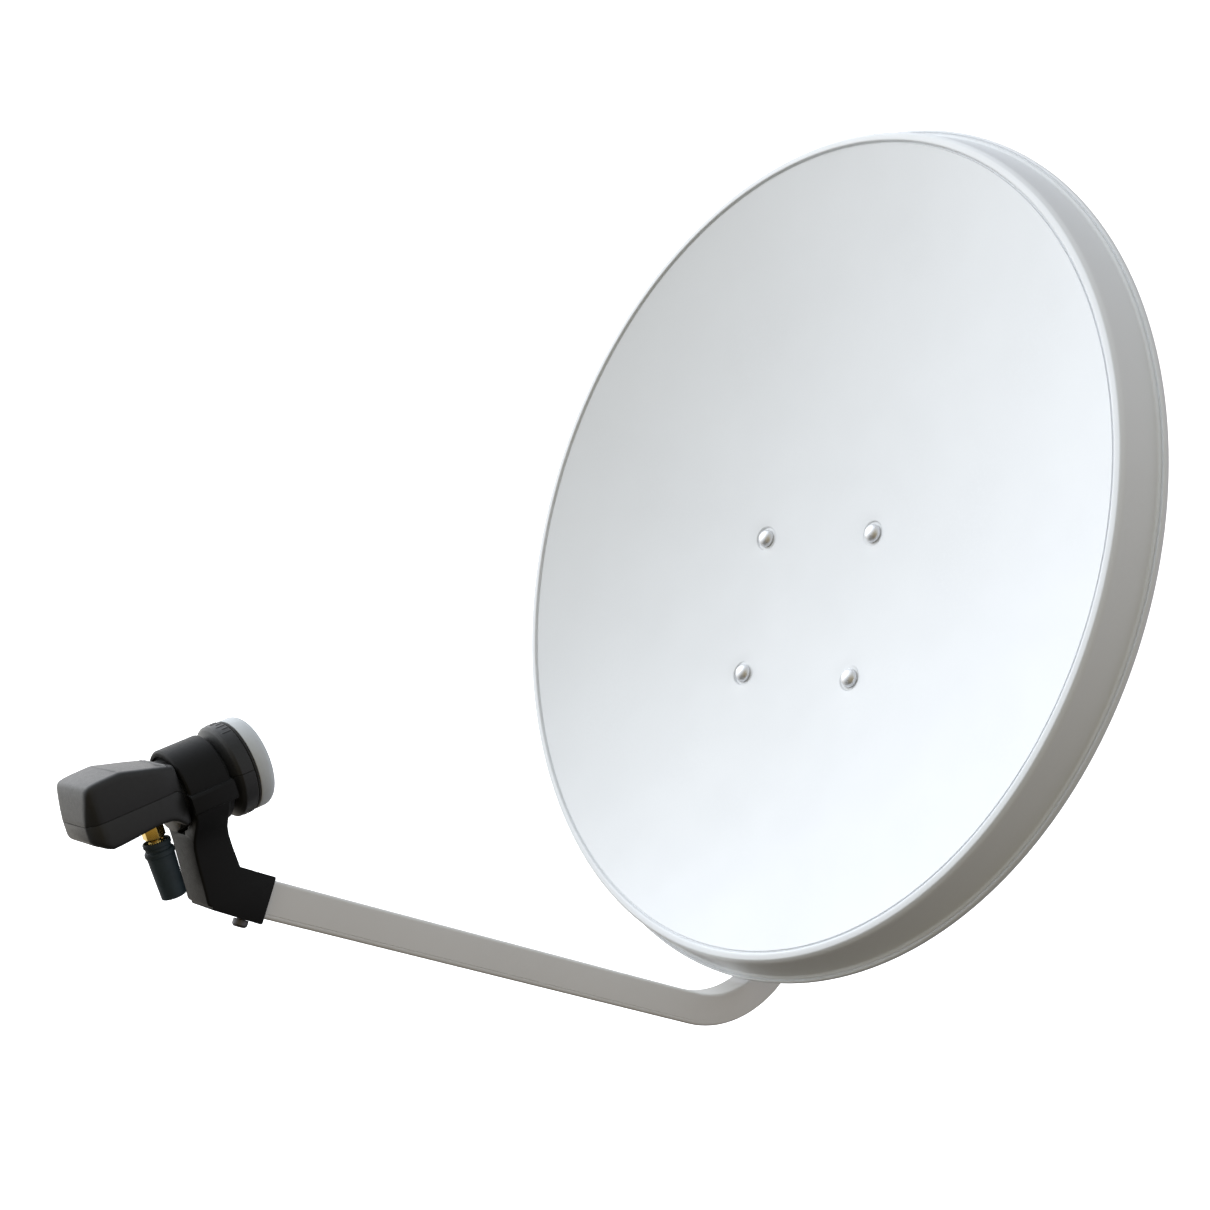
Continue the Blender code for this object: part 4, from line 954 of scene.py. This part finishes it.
def tilt_slot():
    """The curved slots for the lock bolts, a little longer than the tilt needs."""
    steps, spare = 32, radians(1.5)
    low, high = LEAN - TILT_DOWN - spare, LEAN + TILT_UP + spare
    angles = [low + (high - low) * i / steps for i in range(steps + 1)]

    def round_end(end, start):
        y, z = slot_point(end)
        turns = [start + pi * i / 16 for i in range(1, 16)]
        return [(y - SLOT_HALF * sin(a), z - SLOT_HALF * cos(a)) for a in turns]

    outline = [slot_point(a, LOCK_RADIUS + SLOT_HALF) for a in angles] + round_end(high, high)
    outline += [slot_point(a, LOCK_RADIUS - SLOT_HALF) for a in angles[::-1]] + round_end(low, low + pi)
    return prism(outline, "X", -FAR, FAR)


def clamp_holes(low, high):
    return [rod((0, x), "Y", low, high, M8_HOLE) for x in (-CLAMP_BOLT_X, CLAMP_BOLT_X)]


def mast_bracket():
    """The web across the mast and two cheeks with the curved slots of the tilt lock."""
    front = WEB_REAR - PLATE
    z, x = WEB_HEIGHT - WEB_CORNER, WEB_HALF - WEB_CORNER
    corners = [(-z, -x), (-z, x), (z, -x), (z, x)]
    web = prism(hull_outline([(*corner, WEB_CORNER) for corner in corners]), "Y", front, WEB_REAR)
    ends = [slot_point(LEAN + TILT_UP), slot_point(LEAN - TILT_DOWN)]
    outline = hull_outline([(PIVOT.y, PIVOT.z, 15)] + [(*end, 9) for end in ends],
                           [(front + 1, WEB_HEIGHT - 3), (front + 1, 3 - WEB_HEIGHT)])
    cheeks = [prism(outline, "X", low, low + BRACKET_CHEEK_OUT - BRACKET_CHEEK_IN)
              for low in (BRACKET_CHEEK_IN, -BRACKET_CHEEK_OUT)]
    pivot_hole = rod((PIVOT.y, PIVOT.z), "X", -FAR, FAR, M8_HOLE)
    return combine([web] + cheeks, clamp_holes(-FAR, 0) + [pivot_hole, tilt_slot()])


def jaw(side):
    """A channel with a toothed V for the mast in both flanges; side 1 is behind the mast, -1 in front."""
    vertex = MAST_RADIUS / sin(JAW_OPENING)
    reach = (vertex - JAW_PRONG) * tan(JAW_OPENING)
    outline = [(-JAW_HALF, JAW_BACK + 1), (-JAW_HALF, JAW_PRONG)]
    for i in range(-2 * JAW_TEETH, 2 * JAW_TEETH + 1):
        x = reach * i / (2 * JAW_TEETH)
        outline.append((x, vertex - abs(x) / tan(JAW_OPENING) + (JAW_TOOTH if i % 2 else 0)))
    outline += [(JAW_HALF, JAW_PRONG), (JAW_HALF, JAW_BACK + 1)]
    outline = [(x, side * y) for x, y in outline]
    flanges = [prism(outline, "Z", low, low + JAW_SHEET) for low in (-JAW_HEIGHT, JAW_HEIGHT - JAW_SHEET)]
    low, high = sorted((side * JAW_BACK, side * (JAW_BACK + JAW_SHEET)))
    web = box((-JAW_HALF, low, -JAW_HEIGHT), (JAW_HALF, high, JAW_HEIGHT))
    return combine([web] + flanges, clamp_holes(low - 5, high + 5))


# ---- assembly

def build_dish():
    piece("reflector_sheet", reflector(), DISH, "dish", "reflector_paint", "reflector", sharp=50)
    behind = PLATE_FRONT + PLATE + GAP
    for number, (x, z) in enumerate(bolt_places(), 1):
        seat = bowl_depth(x, z) + DIMPLE_DEPTH - GAP
        fastener(f"reflector_bolt_{number}", carriage_bolt(*BOWL_BOLT), (x, seat, z))
        fastener(f"reflector_nut_{number}", m6_nut(), (x, behind, z))
    piece("back_plate_pressing", back_plate(), DISH, "dish", "bracket_paint", "back_plate", bevel=0.5)
    # the arm's look is a darker copy of the dish paint, as painted shade
    piece("feed_arm_tube", feed_arm(), DISH, "dish", "arm_paint", "feed_arm")
    piece("arm_end_cap", arm_end_plug(), DISH, "dish", "black_plastic", "arm_end_plug", bevel=0.6, steps=3)
    behind = arm_path()[-1][0] + ARM_HEIGHT / 2 + GAP
    for name, z in ARM_BOLT_HEIGHTS.items():
        fastener(f"arm_bolt_{name}", carriage_bolt(*ARM_BOLT), (0, PLATE_FRONT - GAP, z))
        fastener(f"arm_nut_{name}", m6_nut(), (0, behind, z))
    piece("holder_base_moulding", holder_base(), DISH, "dish", "black_plastic", "lnb_holder_base", bevel=0.45)
    # the screw is zinc plated like the other fasteners; its dark look is painted shade
    piece("holder_screw_fine", holder_screw(), DISH, "dish", "zinc_steel", "holder_screw", "zinc_in_painted_shade")
    face, inside = CHEEK_OUT + GAP, BRACKET_CHEEK_IN - GAP
    bolt = hexagon_bolt(M8_FLATS, M8_HEAD, M8, 86, 22)
    fastener("pivot_bolt", bolt, (face, PIVOT_Y, PIVOT_Z), "X", -1)
    nut = flanged_nut(M8_FLATS, M8_NUT, M8, M8_FLANGE)
    fastener("pivot_nut", nut, (-face, PIVOT_Y, PIVOT_Z), "X", -1)
    for name, side in (("left", -1), ("right", 1)):
        bolt = hexagon_bolt(M6_FLATS, M6_HEAD, M6, 15, 12)
        height = PIVOT_Z - LOCK_RADIUS
        fastener(f"lock_bolt_{name}", bolt, (side * inside, PIVOT_Y, height), "X", side)
        fastener(f"lock_nut_{name}", m6_nut(), (side * face, PIVOT_Y, height), "X", side)


def build_converter():
    def part(name, bm, slot, node, body="converter", **edges):
        piece(name, bm, RING, body, slot, node, **edges)

    part("holder_cap_moulding", holder_cap(), "black_plastic", "lnb_holder_cap", "holder_cap", bevel=0.45)
    for name, side, node in (("top", 1, "lnb_upper_shell"), ("bottom", -1, "lnb_lower_shell")):
        shell = converter_shell(side)
        part(f"converter_{name}", shell, "converter_plastic", node, bevel=0.25, bevel_angle=40)
    part("horn_cap_moulding", horn_cap(), "cap_plastic", "lnb_horn_cap")
    part("seal_ring_fine", seal_ring(), "seal_rubber", "lnb_seal_ring")
    part("f_port_fine", f_port(), "gold_plate", "lnb_f_port")
    part("connector_nut_fine", connector_nut(), "gold_plate", "f_connector_nut", "connector_nut", bevel=0.12)
    part("connector_barrel_fine", connector_barrel(), "gold_plate", "f_connector_barrel")
    part("weather_boot_fine", weather_boot(), "boot_rubber", "weather_boot", "boot")
    kept = {"lnb_feedhorn": "cast_metal", "lnb_circuit_board": "board", "lnb_probe_vertical": "gold_plate",
            "lnb_probe_horizontal": "gold_plate"}
    for node, slot in kept.items():
        coat(frame["nodes"][node].data, slot)


def build_mast_clamp():
    bracket = mast_bracket()
    piece("mast_bracket_pressing", bracket, MAST, "mast_mount", "bracket_paint", "mast_bracket", bevel=0.5)
    # both jaws are zinc plated like the bolts; their darker look is painted shade
    piece("front_jaw", jaw(-1), MAST, "mast_mount", "zinc_steel", "jaw_front", "jaw_zinc_painted_shade", bevel=0.4)
    piece("rear_jaw_channel", jaw(1), MAST, "rear_jaw", "zinc_steel", "jaw_rear", "jaw_zinc_painted_shade", bevel=0.4)
    front = WEB_REAR - PLATE - GAP
    rear = JAW_BACK + JAW_SHEET + GAP
    for name, x in (("left", -CLAMP_BOLT_X), ("right", CLAMP_BOLT_X)):
        bolt = hexagon_bolt(M8_FLATS, M8_HEAD, M8, CLAMP_BOLT_END - front, 50)
        fastener(f"clamp_bolt_{name}", bolt, (x, front, 0), where=MAST, body="mast_mount")
        fastener(f"clamp_washer_{name}", washer(), (x, rear, 0), where=MAST, body="rear_jaw")
        nut = flanged_nut(M8_FLATS, M8_NUT, 3.95, 8.0)
        fastener(f"clamp_nut_{name}", nut, (x, rear + WASHER + GAP, 0), where=MAST, body="rear_jaw")


# ---- studio and camera

def build_backdrop():
    """A seamless pale floor that rises into a round wall; it lights nothing."""
    start = WALL - WALL_CURVE
    turns = [pi / 2 * i / 10 for i in range(1, 11)]
    outline = [(0.0, FLOOR), (start, FLOOR)]
    outline += [(start + WALL_CURVE * sin(a), FLOOR + WALL_CURVE * (1 - cos(a))) for a in turns]
    outline += [(WALL, WALL_TOP), (0.0, WALL_TOP + 2)]
    mesh = mesh_from("backdrop", turned(outline, "Z"))
    mesh.shade_smooth()
    backdrop = placed("backdrop", mesh)
    pale = Look("studio_white", (0.9, 0.9, 0.9), 0.9)
    pale.set("Emission Color", (1, 1, 1, 1))
    pale.set("Emission Strength", 1.0)
    mesh.materials.append(pale.made)
    backdrop.visible_diffuse = backdrop.visible_glossy = backdrop.visible_shadow = False


def build_light():
    """A soft sky, made of broad glows from a few directions, and one large key lamp."""
    world = bpy.data.worlds.new("studio")
    bpy.context.scene.world = world
    world.use_nodes = True
    nodes, links = world.node_tree.nodes, world.node_tree.links
    total = None

    def step(kind, operation, source, value):
        made = nodes.new(kind)
        made.operation = operation
        links.new(source, made.inputs[0])
        made.inputs[1].default_value = value
        return made

    facing = nodes.new("ShaderNodeTexCoord").outputs["Generated"]
    for direction, colour in SKY:
        aim = step("ShaderNodeVectorMath", "DOT_PRODUCT", facing, Vector(direction).normalized())
        lit = step("ShaderNodeMath", "MAXIMUM", aim.outputs["Value"], 0.0)
        soft = step("ShaderNodeMath", "POWER", lit.outputs["Value"], GLOW_FOCUS)
        tint = step("ShaderNodeVectorMath", "MULTIPLY_ADD", soft.outputs["Value"], colour)
        tint.inputs[2].default_value = FILL
        if total is not None:
            links.new(total, tint.inputs[2])
        total = tint.outputs["Vector"]
    links.new(total, nodes["Background"].inputs["Color"])

    key = bpy.data.lights.new("key", "AREA")
    key.size = LAMP_SIZE
    key.energy = LAMP_POWER
    key.color = LAMP_COLOUR
    lamp = placed("key", key)
    lamp.location = LAMP_PLACE
    lamp.rotation_euler = (LAMP_TARGET - LAMP_PLACE).to_track_quat("-Z", "Y").to_euler()
    bpy.context.scene.view_settings.view_transform = "Standard"


def build_camera():
    data = bpy.data.cameras.new("camera")
    data.lens = LENS
    data.sensor_width = SENSOR
    camera = placed("camera", data)
    camera.location = CAMERA_PLACE
    camera.rotation_euler = CAMERA_AIM.to_track_quat("-Z", "Y").to_euler()
    bpy.context.scene.camera = camera


build_camera()
build_dish()
build_converter()
build_mast_clamp()
build_backdrop()
build_light()
